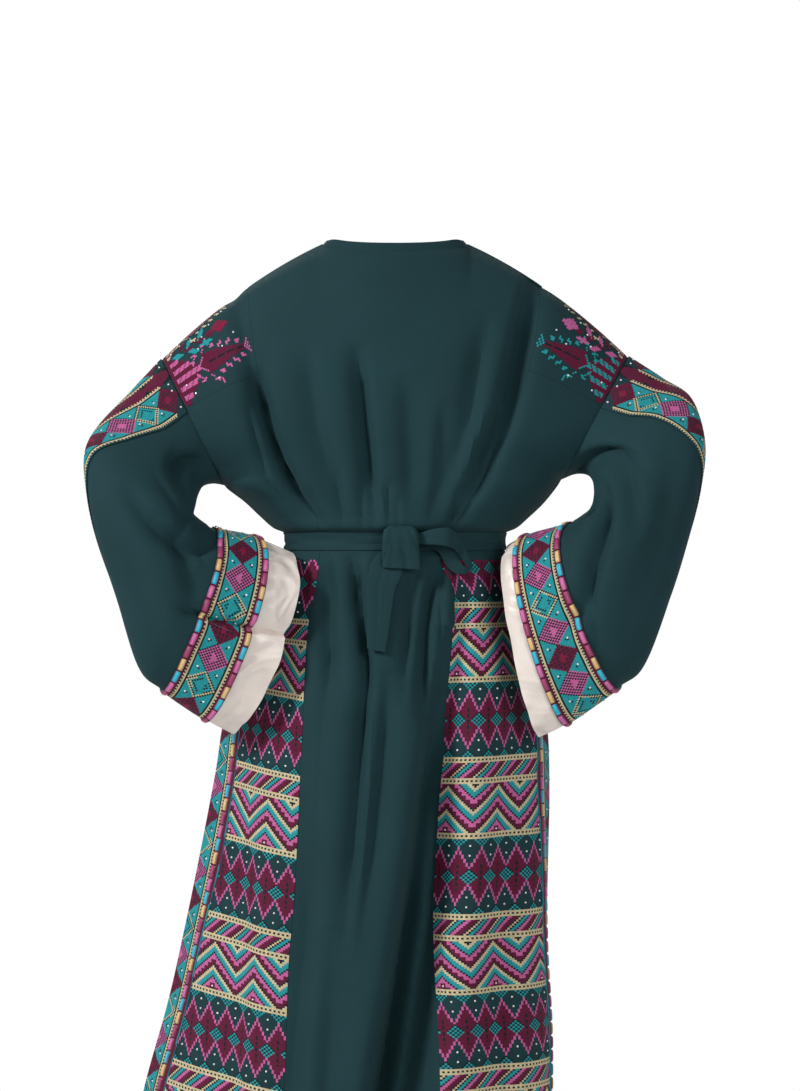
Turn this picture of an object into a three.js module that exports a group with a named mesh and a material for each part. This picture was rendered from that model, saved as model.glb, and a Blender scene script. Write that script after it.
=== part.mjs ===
// A long, loose robe (jalabiya) as it hangs on a wearer whose hands rest on the hips.
// Units are millimetres. +Z is up, the front faces -Y, and +X is the wearer's left.
// The origin lies between the two side neck points, at the height where the shoulders carry the cloth.
import * as THREE from "three";

// Driving dimensions
const CLOTH = 2; // thickness of a cloth wall
const TRIM = 1.4; // thickness of an applied border
const RIDGE = 1.2; // how far a corded edge stands above its border
const GAP = 0.3; // clearance between neighbouring pieces
const NECK_HALF_WIDTH = 92;
const BACK_NECK = { y: 60, z: -14 };
const FRONT_NECK = { y: -72, z: -96 };
const SHOULDER_ARCH = 54; // how far the shoulder line bows above a straight slope
// Middle of the body and its princess seams at the level of the underarm
const UNDERARM = { z: -300, back: 100, front: -128, seamL: 138, seamR: -122 };
const SLIT_LENGTH = 115; // front neck slit
const SLIT_HALF_WIDTH = 2.4;
const STRIP_WIDTH = 74; // border down each side of the skirt
const NECKBAND_HEIGHT = 13;
const BELT_THICKNESS = 2.6;

// Columns of the body surface, counted from the centre to the side
const NECK_COLUMNS = 4;
const SEAM_COLUMN = 8; // the princess seam
const STRIP_COLUMN = 11; // back or front edge of the side border
const SIDE_COLUMN = 13; // the side seam
const ARMHOLE_ROWS = 9;
const YOKE_ROW = 4; // lower edge of the shoulder piece
const DRAPE = { from: 6, to: 11, columns: 3 }; // rows between which the cloth hangs straight, easing off to the side

// Rings of each sleeve: armhole, upper arm, above the elbow, elbow, below the elbow, forearm, hanging cloth, lowest
// fold, border, satin, mouth. The outer line runs over shoulder and elbow to the hanging edge, the inner line runs
// from the underarm to the wrist, depth is the ring's half thickness towards the back, taper makes the outer half
// slimmer, and twist turns the cloth round the arm in degrees, so that the strip on the outer line swings forward.
const SLEEVES = {
  left: [
    { outX: 297, outY: 0, outZ: -148, inX: 218, inY: 0, inZ: -306, depthX: 0, depthY: 60, taper: 0.3, twist: 0 },
    { outX: 337, outY: 20, outZ: -193, inX: 232, inY: 18, inZ: -304, depthX: 0, depthY: 58, taper: 0.3, twist: 12 },
    { outX: 373, outY: 48, outZ: -234, inX: 245, inY: 40, inZ: -308, depthX: -2, depthY: 57, taper: 0.25, twist: 28 },
    { outX: 388, outY: 82, outZ: -267, inX: 251, inY: 60, inZ: -320, depthX: -5, depthY: 56, taper: 0.2, twist: 44 },
    { outX: 385, outY: 102, outZ: -310, inX: 254, inY: 74, inZ: -334, depthX: -8, depthY: 57, taper: 0.15, twist: 52 },
    { outX: 372, outY: 112, outZ: -374, inX: 256, inY: 80, inZ: -345, depthX: -10, depthY: 58, taper: 0.15, twist: 58 },
    { outX: 347, outY: 110, outZ: -451, inX: 251, inY: 78, inZ: -351, depthX: -12, depthY: 60, taper: 0.2, twist: 60 },
    { outX: 320, outY: 104, outZ: -537, inX: 242, inY: 72, inZ: -358, depthX: -15, depthY: 60, taper: 0.25, twist: 60 },
    { outX: 291, outY: 98, outZ: -565, inX: 229, inY: 64, inZ: -366, depthX: -19, depthY: 58, taper: 0.3, twist: 60 },
    { outX: 234, outY: 88, outZ: -604, inX: 176, inY: 50, inZ: -376, depthX: -29, depthY: 53, taper: 0.3, twist: 60 },
    { outX: 201, outY: 82, outZ: -620, inX: 147, inY: 41, inZ: -385, depthX: -40, depthY: 49, taper: 0.3, twist: 60 },
  ],
  right: [
    { outX: 297, outY: 0, outZ: -145, inX: 212, inY: 0, inZ: -299, depthX: 0, depthY: 60, taper: 0.3, twist: 0 },
    { outX: 341, outY: 20, outZ: -175, inX: 230, inY: 18, inZ: -292, depthX: 0, depthY: 58, taper: 0.3, twist: 10 },
    { outX: 374, outY: 48, outZ: -201, inX: 246, inY: 40, inZ: -294, depthX: -2, depthY: 57, taper: 0.25, twist: 20 },
    { outX: 388, outY: 82, outZ: -256, inX: 253, inY: 60, inZ: -306, depthX: -5, depthY: 56, taper: 0.2, twist: 42 },
    { outX: 382, outY: 102, outZ: -307, inX: 252, inY: 74, inZ: -325, depthX: -8, depthY: 57, taper: 0.15, twist: 56 },
    { outX: 368, outY: 112, outZ: -366, inX: 247, inY: 80, inZ: -340, depthX: -12, depthY: 58, taper: 0.15, twist: 60 },
    { outX: 343, outY: 110, outZ: -449, inX: 239, inY: 78, inZ: -348, depthX: -18, depthY: 60, taper: 0.2, twist: 60 },
    { outX: 310, outY: 104, outZ: -535, inX: 231, inY: 72, inZ: -354, depthX: -25, depthY: 60, taper: 0.25, twist: 60 },
    { outX: 279, outY: 98, outZ: -562, inX: 223, inY: 64, inZ: -360, depthX: -28, depthY: 58, taper: 0.3, twist: 60 },
    { outX: 212, outY: 90, outZ: -610, inX: 163, inY: 50, inZ: -376, depthX: -24, depthY: 53, taper: 0.3, twist: 60 },
    { outX: 180, outY: 85, outZ: -626, inX: 144, inY: 41, inZ: -385, depthX: -17, depthY: 49, taper: 0.3, twist: 60 },
  ],
};
const SLEEVE_POINTS = 18; // around a sleeve, two for each armhole row
const SLEEVE_STRIP = { front: -3, back: 3 }; // points between which the strip lies, counted from the outer line
const SLEEVE_RINGS = 19; // from armhole to satin
const BORDER_RING = 8; // number of the table row where the cuff border starts
const SATIN_RING = 9;
const MOUTH_RING = 10;

// Sections of the body below the underarm. sway is the section's middle, half its greatest half width, back and
// front its depths and seamL and seamR the princess seams. turnL, turnR and turnFR say how far the curve has turned
// at the side seam in degrees, on the left, at the right back and at the right front. riseL and riseR say how
// steeply the rows climb beyond the princess seams.
const SECTION_COLUMNS = "z sway half back front seamL seamR turnL turnR turnFR riseL riseR".split(" ");
const SECTIONS = [
  [-330, 0, 189, 99, -126, 115, -102, 88, 88, 88, 0, 0],
  [-348, 0, 170, 100, -124, 103, -86, 88, 88, 88, 0, 0],
  [-361, 0, 155, 99, -119, 97, -74, 88, 88, 88, 0, 0],
  [-368, 0, 140, 88, -107, 94, -68, 88, 88, 88, 0, 0],
  [-391, 0, 139, 87, -106, 94, -62, 88, 88, 88, 0, 0],
  [-404, 0, 145, 95, -114, 96.5, -60, 88, 88, 88, 0, 0],
  [-440, 1, 151, 104, -120, 101.5, -73, 84, 86, 88, 0.02, 0],
  [-490, 2, 163, 114, -127, 108.5, -75.5, 78, 84, 90, 0.08, 0.01],
  [-545, 5, 180, 122, -132, 113, -76, 70, 82, 92, 0.14, 0.02],
  [-610, 10.5, 200.5, 128, -137, 118, -74.5, 60, 80, 94, 0.19, 0.03],
  [-700, 16, 210.5, 135, -142, 123, -71.5, 52, 80, 96, 0.21, 0.03],
  [-800, 26.5, 218.5, 140, -147, 130, -66, 48, 90, 88, 0.22, 0.03],
  [-900, 37.5, 227.5, 145, -152, 138, -61, 46, 98, 80, 0.22, 0.03],
  [-1000, 46, 240.5, 150, -157, 140.5, -59, 45, 102, 74, 0.22, 0.03],
  [-1110, 60, 255.5, 156, -163, 143, -57, 45, 104, 72, 0.22, 0.03],
  [-1220, 69.5, 269.5, 163, -170, 146, -56, 45, 104, 72, 0.22, 0.03],
  [-1320, 77.5, 282.5, 169, -176, 148, -54, 45, 104, 72, 0.22, 0.03],
  [-1400, 82.5, 292.5, 174, -181, 150, -52, 45, 104, 72, 0.22, 0.03],
].map((row) => Object.fromEntries(row.map((value, i) => [SECTION_COLUMNS[i], value])));
const BELT_TOP_SECTION = 3;
const BELT_LOW_SECTION = 4;
const STRIP_TOP_SECTION = 6;
// Soft folds. Each is a trough that follows a line from top over mid to low, as wide and deep as given.
const FOLDS = [
  { face: 1, topX: 188, topZ: -120, midX: 158, midZ: -252, lowX: 94, lowZ: -366, width: 15, depth: 10 },
  { face: 1, topX: -186, topZ: -60, midX: -144, midZ: -250, lowX: -68, lowZ: -366, width: 16, depth: 12 },
  { face: 1, topX: 49, topZ: -150, midX: 36, midZ: -256, lowX: 25, lowZ: -366, width: 14, depth: 6 },
  { face: 1, topX: -22, topZ: -140, midX: -30, midZ: -240, lowX: -32, lowZ: -350, width: 24, depth: 5 },
  { face: 1, topX: 14, topZ: -315, midX: 13, midZ: -340, lowX: 12, lowZ: -366, width: 12, depth: 5 },
  { face: 1, topX: -60, topZ: -312, midX: -54, midZ: -340, lowX: -46, lowZ: -366, width: 13, depth: 6 },
  { face: 1, topX: 92, topZ: -400, midX: 85, midZ: -480, lowX: 78, lowZ: -560, width: 12, depth: 7 },
  { face: 1, topX: 48, topZ: -392, midX: 46, midZ: -415, lowX: 44, lowZ: -440, width: 11, depth: 5 },
  { face: 1, topX: 38, topZ: -430, midX: 46, midZ: -680, lowX: 64, lowZ: -830, width: 12, depth: 9 },
  { face: 1, topX: 14, topZ: -480, midX: 26, midZ: -770, lowX: 58, lowZ: -960, width: 22, depth: 10 },
  { face: 1, topX: -44, topZ: -394, midX: -42, midZ: -540, lowX: -26, lowZ: -650, width: 14, depth: 11 },
  { face: 1, topX: -66, topZ: -470, midX: -12, midZ: -860, lowX: 76, lowZ: -1420, width: 24, depth: 24 },
  { face: 1, topX: -66, topZ: -760, midX: -28, midZ: -960, lowX: 4, lowZ: -1420, width: 16, depth: 9 },
  { face: 1, topX: 190, topZ: -620, midX: 196, midZ: -900, lowX: 230, lowZ: -1420, width: 30, depth: 6 },
  { face: 1, topX: -150, topZ: -560, midX: -140, midZ: -900, lowX: -125, lowZ: -1420, width: 26, depth: 7 },
  { face: -1, topX: 110, topZ: -200, midX: 92, midZ: -290, lowX: 76, lowZ: -366, width: 18, depth: 8 },
  { face: -1, topX: -105, topZ: -210, midX: -90, midZ: -300, lowX: -72, lowZ: -366, width: 18, depth: 8 },
  { face: -1, topX: 34, topZ: -270, midX: 32, midZ: -320, lowX: 30, lowZ: -366, width: 13, depth: 6 },
  { face: -1, topX: -28, topZ: -280, midX: -28, midZ: -325, lowX: -26, lowZ: -366, width: 13, depth: 6 },
  { face: -1, topX: 88, topZ: -394, midX: 100, midZ: -700, lowX: 140, lowZ: -1420, width: 24, depth: 14 },
  { face: -1, topX: 40, topZ: -394, midX: 56, midZ: -620, lowX: 84, lowZ: -960, width: 18, depth: 10 },
  { face: -1, topX: 6, topZ: -394, midX: 18, midZ: -760, lowX: 52, lowZ: -1420, width: 22, depth: 13 },
  { face: -1, topX: -42, topZ: -394, midX: -36, midZ: -640, lowX: -18, lowZ: -1000, width: 18, depth: 10 },
  { face: -1, topX: -86, topZ: -394, midX: -84, midZ: -720, lowX: -60, lowZ: -1420, width: 24, depth: 14 },
  { face: -1, topX: 180, topZ: -540, midX: 200, midZ: -900, lowX: 240, lowZ: -1420, width: 28, depth: 9 },
  { face: -1, topX: -146, topZ: -540, midX: -142, midZ: -900, lowX: -132, lowZ: -1420, width: 26, depth: 9 },
];

// Folds of a sleeve: where along the table's rows and where around in degrees each starts and ends.
const SLEEVE_FOLDS = [
  { startRing: 0.3, startTurn: 120, endRing: 2.6, endTurn: 128, width: 22, depth: 5 },
  { startRing: 3.4, startTurn: 20, endRing: 7.2, endTurn: 118, width: 26, depth: 8 },
  { startRing: 4.8, startTurn: 158, endRing: 8.0, endTurn: 62, width: 24, depth: 6 },
  { startRing: 3.4, startTurn: 330, endRing: 7.4, endTurn: 250, width: 26, depth: 8 },
  { startRing: 0.6, startTurn: 236, endRing: 2.8, endTurn: 226, width: 22, depth: 5 },
];

// Edges of the belt's hanging end, from the knot down. It lies lift above the skirt, or at y where that is given.
const TAIL = [
  { leftX: 19, leftZ: -392.2, rightX: -9, rightZ: -392.2, lift: 0, y: 102 },
  { leftX: 29, leftZ: -405, rightX: -10, rightZ: -405, lift: 0, y: 102 },
  { leftX: 34, leftZ: -422, rightX: -8, rightZ: -422, lift: 1, y: 0 },
  { leftX: 36, leftZ: -438, rightX: -1, rightZ: -438, lift: 1, y: 0 },
  { leftX: 35, leftZ: -466, rightX: 4, rightZ: -466, lift: 1.5, y: 0 },
  { leftX: 35, leftZ: -494, rightX: 8, rightZ: -494, lift: 2, y: 0 },
  { leftX: 35, leftZ: -514, rightX: 12, rightZ: -519, lift: 2.5, y: 0 },
];

// Edges of the belt's loop, out of the knot along its front layer, round the bend and back behind.
const LOOP = [
  { outX: -30.7, outZ: -370, inX: -30.9, inZ: -383, lift: 5 },
  { outX: -49, outZ: -364, inX: -50, inZ: -384, lift: 12 },
  { outX: -67, outZ: -363, inX: -65, inZ: -386, lift: 17 },
  { outX: -80, outZ: -374, inX: -77, inZ: -392, lift: 18 },
  { outX: -90, outZ: -393, inX: -86, inZ: -404, lift: 16 },
  { outX: -97, outZ: -413, inX: -91, inZ: -420, lift: 11 },
  { outX: -89, outZ: -412, inX: -80, inZ: -421, lift: 5 },
  { outX: -77, outZ: -397, inX: -65, inZ: -411, lift: 3.4 },
  { outX: -66, outZ: -384, inX: -56, inZ: -395, lift: 3.4 },
  { outX: -52, outZ: -374, inX: -45, inZ: -387, lift: 3.2 },
  { outX: -30.7, outZ: -370.5, inX: -30.9, inZ: -383, lift: 2.6 },
];

// Sections of the knot from its top to the free edge of the flap that wraps it. Where back is 0 it lies on what is
// behind it.
const KNOT = [
  { z: -361, leftX: 14, rightX: -27, back: 0, front: 110 },
  { z: -366, leftX: 15.5, rightX: -29.5, back: 0, front: 114 },
  { z: -373, leftX: 15.2, rightX: -29.8, back: 0, front: 115 },
  { z: -390.2, leftX: 15.5, rightX: -30.3, back: 0, front: 113 },
  { z: -391.3, leftX: 15.6, rightX: -30.4, back: 105, front: 112.5 },
  { z: -403, leftX: 15.8, rightX: -31.3, back: 105.8, front: 111 },
  { z: -414, leftX: 15, rightX: -32, back: 106.9, front: 110.8 },
];

const COLOURS = {
  cloth: new THREE.MeshStandardMaterial({ color: 0x1e3a3d, roughness: 0.85, metalness: 0 }),
  embroidered: new THREE.MeshStandardMaterial({ color: 0x6b1f45, roughness: 0.8, metalness: 0 }),
  border: new THREE.MeshStandardMaterial({ color: 0x2e9a9e, roughness: 0.75, metalness: 0 }),
  satin: new THREE.MeshStandardMaterial({ color: 0xd9c9bb, roughness: 0.4, metalness: 0 }),
};

const degrees = (a) => (a * Math.PI) / 180;
const lerp = THREE.MathUtils.lerp;
const clamp01 = (t) => Math.min(1, Math.max(0, t));

// Cubic through the four rows around position p of a table, column by column.
function rowAt(table, p) {
  const i = Math.min(table.length - 2, Math.floor(p));
  const f = p - i;
  const rows = [i - 1, i, i + 1, i + 2].map((k) => table[Math.min(table.length - 1, Math.max(0, k))]);
  const row = {};
  for (const key of Object.keys(table[0])) {
    if (typeof table[0][key] !== "number") continue;
    const [a, b, c, d] = rows.map((r) => r[key]);
    row[key] = b + 0.5 * f * (c - a + f * (2 * a - 5 * b + 4 * c - d + f * (3 * (b - c) + d - a)));
  }
  return row;
}

// A point of a sleeve before its folds. turn is 0 on the outer line, 90 at the back and 180 on the inner line.
function sleeveBase(side, ring, turn) {
  const r = rowAt(SLEEVES[side > 0 ? "left" : "right"], ring);
  const c = Math.cos(degrees(turn));
  const s = Math.sin(degrees(turn)) * (1 - r.taper * c);
  return new THREE.Vector3(
    side * ((r.outX + r.inX) / 2 + ((r.outX - r.inX) / 2) * c + r.depthX * s),
    (r.outY + r.inY) / 2 + ((r.outY - r.inY) / 2) * c + r.depthY * s,
    (r.outZ + r.inZ) / 2 + ((r.outZ - r.inZ) / 2) * c,
  );
}

// Distance from point p to the segment a-b, and how far along it the nearest point lies, from 0 to 1.
function nearSegment(p, a, b) {
  const ab = b.clone().sub(a);
  const along = clamp01(p.clone().sub(a).dot(ab) / ab.lengthSq());
  return { distance: p.distanceTo(a.clone().addScaledVector(ab, along)), along };
}

const FOLD_STEPS = 6;
function sleeveFoldLines(side) {
  return SLEEVE_FOLDS.map((f) => {
    const line = [];
    for (let i = 0; i <= FOLD_STEPS; i++) {
      const t = i / FOLD_STEPS;
      line.push(sleeveBase(side, lerp(f.startRing, f.endRing, t), lerp(f.startTurn, f.endTurn, t)));
    }
    return { ...f, line };
  });
}

// How deep the sleeve's folds press in at point p.
function sleeveFoldDepth(lines, p) {
  let depth = 0;
  for (const f of lines) {
    let best = { distance: Infinity, share: 0 };
    for (let i = 0; i < FOLD_STEPS; i++) {
      const near = nearSegment(p, f.line[i], f.line[i + 1]);
      if (near.distance < best.distance) best = { distance: near.distance, share: (i + near.along) / FOLD_STEPS };
    }
    const across = best.distance / f.width;
    depth += f.depth * Math.exp(-across * across) * Math.sin(Math.PI * lerp(0.08, 0.92, best.share));
  }
  return depth;
}

function sleeveGrid(side, firstRing, lastRing, rings) {
  const lines = sleeveFoldLines(side);
  const grid = [];
  for (let i = 0; i < rings; i++) {
    const ring = lerp(firstRing, lastRing, i / (rings - 1));
    const middle = sleeveBase(side, ring, 90).add(sleeveBase(side, ring, 270)).multiplyScalar(0.5);
    const fade = clamp01(ring) * clamp01((SATIN_RING + 0.2 - ring) / 1.2);
    const row = [];
    const twist = rowAt(SLEEVES[side > 0 ? "left" : "right"], ring).twist;
    for (let k = 0; k < SLEEVE_POINTS; k++) {
      const p = sleeveBase(side, ring, (360 * k) / SLEEVE_POINTS - twist);
      const inward = middle.clone().sub(p).normalize();
      row.push(p.addScaledVector(inward, fade * sleeveFoldDepth(lines, p)));
    }
    grid.push(row);
  }
  return grid;
}

// The rows of the body: first those that end on the armhole, down to the underarm, then one for each section.
function bodyRow(index, face, side) {
  if (index <= ARMHOLE_ROWS) {
    const turn = (180 * index) / ARMHOLE_ROWS;
    const c = Math.cos(degrees(turn));
    const edge = sleeveBase(side, 0, face > 0 ? turn : -turn);
    const neck = face > 0 ? BACK_NECK : FRONT_NECK;
    const low = face > 0 ? UNDERARM.back : UNDERARM.front;
    const blade = face > 0 ? 13 : -4; // the back is fullest at the shoulder blades
    const share = (1 - c) / 2;
    return {
      centre: new THREE.Vector3(
        0,
        lerp(neck.y, low, Math.sin(degrees(turn / 2))) + blade * Math.sin(degrees(turn)) ** 2,
        lerp(neck.z, UNDERARM.z, share),
      ),
      edge,
      turn: lerp(58, 88, share ** 4),
      seam: side * lerp(188, side > 0 ? UNDERARM.seamL : -UNDERARM.seamR, share ** 1.5),
      rise: 0,
    };
  }
  const s = SECTIONS[index - ARMHOLE_ROWS - 1];
  const turn = side > 0 ? s.turnL : face > 0 ? s.turnR : s.turnFR;
  const widest = side > 0 ? s.turnL : Math.max(s.turnR, s.turnFR);
  const reach = Math.sin(degrees(Math.max(90, widest))); // the side seam lies inside the widest point
  return {
    centre: new THREE.Vector3(s.sway, face > 0 ? s.back : s.front, s.z),
    edge: new THREE.Vector3(s.sway + side * s.half * reach, 0, s.z),
    turn,
    seam: side > 0 ? s.seamL : s.seamR,
    rise: side > 0 ? s.riseL : s.riseR,
  };
}

// A point of the body before folds, at share t from the centre to the side.
function rowPoint(row, t) {
  const end = degrees(row.turn);
  const a = t * end;
  const across = Math.sin(a) / Math.sin(end);
  const forward = (Math.cos(a) - Math.cos(end)) / (1 - Math.cos(end));
  const x = lerp(row.centre.x, row.edge.x, across);
  const past = Math.max(0, Math.abs(x - row.centre.x) - Math.abs(row.seam - row.centre.x));
  return new THREE.Vector3(
    x,
    lerp(row.edge.y, row.centre.y, forward),
    lerp(row.centre.z, row.edge.z, across * across) + row.rise * past,
  );
}

function seamShare(row) {
  const end = degrees(row.turn);
  const across = (row.seam - row.centre.x) / (row.edge.x - row.centre.x);
  return Math.asin(Math.min(0.98, across * Math.sin(end))) / end;
}

// Share of the row at which the side border starts, measured back along the cloth from the side.
function stripShare(row, width) {
  const steps = 60;
  let length = 0;
  let last = rowPoint(row, 1);
  for (let i = steps - 1; i > 0; i--) {
    const p = rowPoint(row, i / steps);
    length += p.distanceTo(last);
    if (length >= width) return i / steps;
    last = p;
  }
  return 0.5;
}

function columnShare(row, column) {
  const seam = seamShare(row);
  const strip = Math.max(stripShare(row, STRIP_WIDTH / 2), seam + 0.12);
  if (column <= SEAM_COLUMN) return (seam * column) / SEAM_COLUMN;
  if (column <= STRIP_COLUMN) return lerp(seam, strip, (column - SEAM_COLUMN) / (STRIP_COLUMN - SEAM_COLUMN));
  return lerp(strip, 1, (column - STRIP_COLUMN) / (SIDE_COLUMN - STRIP_COLUMN));
}

// How deep the body's folds press in at a place on one face.
function bodyFoldDepth(face, x, z) {
  let depth = 0;
  for (const f of FOLDS) {
    if (f.face !== face || z > f.topZ || z < f.lowZ) continue;
    const upper = z > f.midZ;
    const share = upper ? (f.topZ - z) / (f.topZ - f.midZ) : (f.midZ - z) / (f.midZ - f.lowZ);
    const line = upper ? lerp(f.topX, f.midX, share) : lerp(f.midX, f.lowX, share);
    const along = (f.topZ - z) / (f.topZ - f.lowZ);
    const ends = Math.min(1, 5 * along + 0.15) * Math.min(1, 5 * (1 - along) + (f.lowZ < -1400 ? 1 : 0.15));
    const across = (x - line) / f.width;
    depth += f.depth * ends * Math.exp(-across * across);
  }
  return depth;
}

// The top row: the neckline from the centre to the side neck point, then the shoulder line.
function topPoint(face, side, column) {
  const neck = face > 0 ? BACK_NECK : FRONT_NECK;
  if (column <= NECK_COLUMNS) {
    const a = degrees((90 * column) / NECK_COLUMNS);
    const drop = face > 0 ? Math.cos(a) : Math.cos(a) ** 1.3;
    return new THREE.Vector3(side * NECK_HALF_WIDTH * Math.sin(a), neck.y * Math.cos(a), neck.z * drop);
  }
  const end = sleeveBase(side, 0, 0);
  const seam = (188 - NECK_HALF_WIDTH) / (Math.abs(end.x) - NECK_HALF_WIDTH);
  const share =
    column <= SEAM_COLUMN
      ? (seam * (column - NECK_COLUMNS)) / (SEAM_COLUMN - NECK_COLUMNS)
      : lerp(seam, 1, (column - SEAM_COLUMN) / (SIDE_COLUMN - SEAM_COLUMN));
  return new THREE.Vector3(
    side * lerp(NECK_HALF_WIDTH, Math.abs(end.x), share),
    0,
    end.z * share + SHOULDER_ARCH * share * (1 - share),
  );
}

const BODY_ROWS = ARMHOLE_ROWS + 1 + SECTIONS.length;
const TOP_BLEND_ROWS = 4; // rows over which the body settles from the shoulder line to its own form
const BELT_CALM = 16; // folds fade out under the belt within this height

function bodyPoint(face, side, column, index) {
  if (index === 0) return topPoint(face, side, column);
  const row = bodyRow(index, face, side);
  const t = columnShare(row, column);
  const p = rowPoint(row, t);
  if (index < TOP_BLEND_ROWS && column < SIDE_COLUMN) {
    const first = bodyRow(0, face, side);
    const start = rowPoint(first, columnShare(first, column));
    const weight = (1 - index / TOP_BLEND_ROWS) ** 2;
    p.addScaledVector(topPoint(face, side, column).sub(start), weight);
  }
  if (index > DRAPE.from && index < DRAPE.to) {
    const [high, low] = [DRAPE.from, DRAPE.to].map((i) => {
      const other = bodyRow(i, face, side);
      return rowPoint(other, columnShare(other, column));
    });
    const straight = lerp(high.y, low.y, (high.z - p.z) / (high.z - low.z));
    p.y = lerp(p.y, straight, Math.min(1, (SIDE_COLUMN - column) / DRAPE.columns));
  }
  const a = rowPoint(row, Math.max(0, t - 0.02));
  const b = rowPoint(row, Math.min(1, t + 0.02));
  const tangent = b.sub(a).normalize();
  const outward = new THREE.Vector3(-tangent.y, tangent.x, 0).multiplyScalar(face * side).normalize();
  const beltMiddle = (SECTIONS[BELT_TOP_SECTION].z + SECTIONS[BELT_LOW_SECTION].z) / 2;
  const calm = clamp01((Math.abs(p.z - beltMiddle) - 11) / BELT_CALM);
  const fixed = column === SIDE_COLUMN ? 0 : 1;
  return p.addScaledVector(outward, -calm * fixed * bodyFoldDepth(face, p.x, p.z));
}

// One face of the body as rows of points, from the right side (negative columns) to the left.
function bodyGrid(face) {
  const grid = [];
  for (let index = 0; index < BODY_ROWS; index++) {
    const row = [];
    for (let column = -SIDE_COLUMN; column <= SIDE_COLUMN; column++) {
      row.push(bodyPoint(face, column < 0 ? -1 : 1, Math.abs(column), index));
    }
    grid.push(row);
  }
  return grid;
}

// Outward normals, shared by every surface that meets at a point.
const normals = new Map();
const placeOf = (p) => [p.x, p.y, p.z].map((v) => Math.round(v * 100)).join(",");

function addNormals(grid, outwardOf, wraps) {
  const columns = grid[0].length;
  for (let i = 0; i + 1 < grid.length; i++) {
    for (let k = 0; k + (wraps ? 0 : 1) < columns; k++) {
      const n = (k + 1) % columns;
      const [a, b, c, d] = [grid[i][k], grid[i][n], grid[i + 1][n], grid[i + 1][k]];
      const normal = c.clone().sub(a).cross(d.clone().sub(b));
      const centre = a.clone().add(b).add(c).add(d).multiplyScalar(0.25);
      if (normal.dot(outwardOf(centre, i)) < 0) normal.negate();
      for (const p of [a, b, c, d]) {
        const key = placeOf(p);
        if (!normals.has(key)) normals.set(key, new THREE.Vector3());
        normals.get(key).add(normal);
      }
    }
  }
}

const normalAt = (p) => normals.get(placeOf(p)).clone().normalize();

// A closed wall over the cells of a grid, from the low to the high offset along the normals. Its free edges are
// drawn in by trim, so that neighbours stand apart. high may be a function of row and column.
function wall(grid, { low = 0, high = CLOTH, trim = GAP / 2, wraps = false, normalOf = normalAt } = {}) {
  const rows = grid.length;
  const columns = grid[0].length;
  const inner = [];
  const outer = [];
  for (let i = 0; i < rows; i++) {
    for (let k = 0; k < columns; k++) {
      const p = grid[i][k].clone();
      const normal = normalOf(grid[i][k], i, k);
      const steps = [];
      if (i === 0) steps.push(grid[1][k]);
      if (i === rows - 1) steps.push(grid[rows - 2][k]);
      if (!wraps && k === 0) steps.push(grid[i][1]);
      if (!wraps && k === columns - 1) steps.push(grid[i][columns - 2]);
      for (const towards of steps) p.addScaledVector(towards.clone().sub(grid[i][k]).normalize(), trim);
      const top = typeof high === "function" ? high(i, k) : high;
      inner.push(p.clone().addScaledVector(normal, low));
      outer.push(p.clone().addScaledVector(normal, top));
    }
  }
  const at = (i, k) => i * columns + (k % columns);
  const faces = [];
  const quad = (a, b, c, d) => faces.push(a, b, c, a, c, d);
  const shift = rows * columns;
  const last = wraps ? columns : columns - 1;
  for (let i = 0; i < rows - 1; i++) {
    for (let k = 0; k < last; k++) {
      const n = (k + 1) % columns;
      const [a, b, c, d] = [at(i, k), at(i, n), at(i + 1, n), at(i + 1, k)];
      // Every surface over these cells splits them along the shorter diagonal.
      if (grid[i][k].distanceTo(grid[i + 1][n]) < grid[i][n].distanceTo(grid[i + 1][k])) {
        quad(shift + a, shift + b, shift + c, shift + d);
        quad(a, d, c, b);
      } else {
        quad(shift + b, shift + c, shift + d, shift + a);
        quad(b, a, d, c);
      }
    }
  }
  for (let k = 0; k < last; k++) {
    quad(at(0, k), at(0, k + 1), shift + at(0, k + 1), shift + at(0, k));
    quad(at(rows - 1, k + 1), at(rows - 1, k), shift + at(rows - 1, k), shift + at(rows - 1, k + 1));
  }
  if (!wraps) {
    for (let i = 0; i < rows - 1; i++) {
      quad(at(i + 1, 0), at(i, 0), shift + at(i, 0), shift + at(i + 1, 0));
      quad(at(i, columns - 1), at(i + 1, columns - 1), shift + at(i + 1, columns - 1), shift + at(i, columns - 1));
    }
  }
  return closed(inner.concat(outer), faces);
}

// A geometry whose faces look outwards.
function closed(points, faces) {
  let volume = 0;
  for (let f = 0; f < faces.length; f += 3) {
    const [a, b, c] = [points[faces[f]], points[faces[f + 1]], points[faces[f + 2]]];
    volume += a.dot(b.clone().cross(c));
  }
  if (volume < 0) {
    for (let f = 0; f < faces.length; f += 3) [faces[f + 1], faces[f + 2]] = [faces[f + 2], faces[f + 1]];
  }
  const geometry = new THREE.BufferGeometry();
  geometry.setAttribute("position", new THREE.Float32BufferAttribute(points.flatMap((p) => p.toArray()), 3));
  geometry.setIndex(faces);
  geometry.computeVertexNormals();
  return geometry;
}

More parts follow.
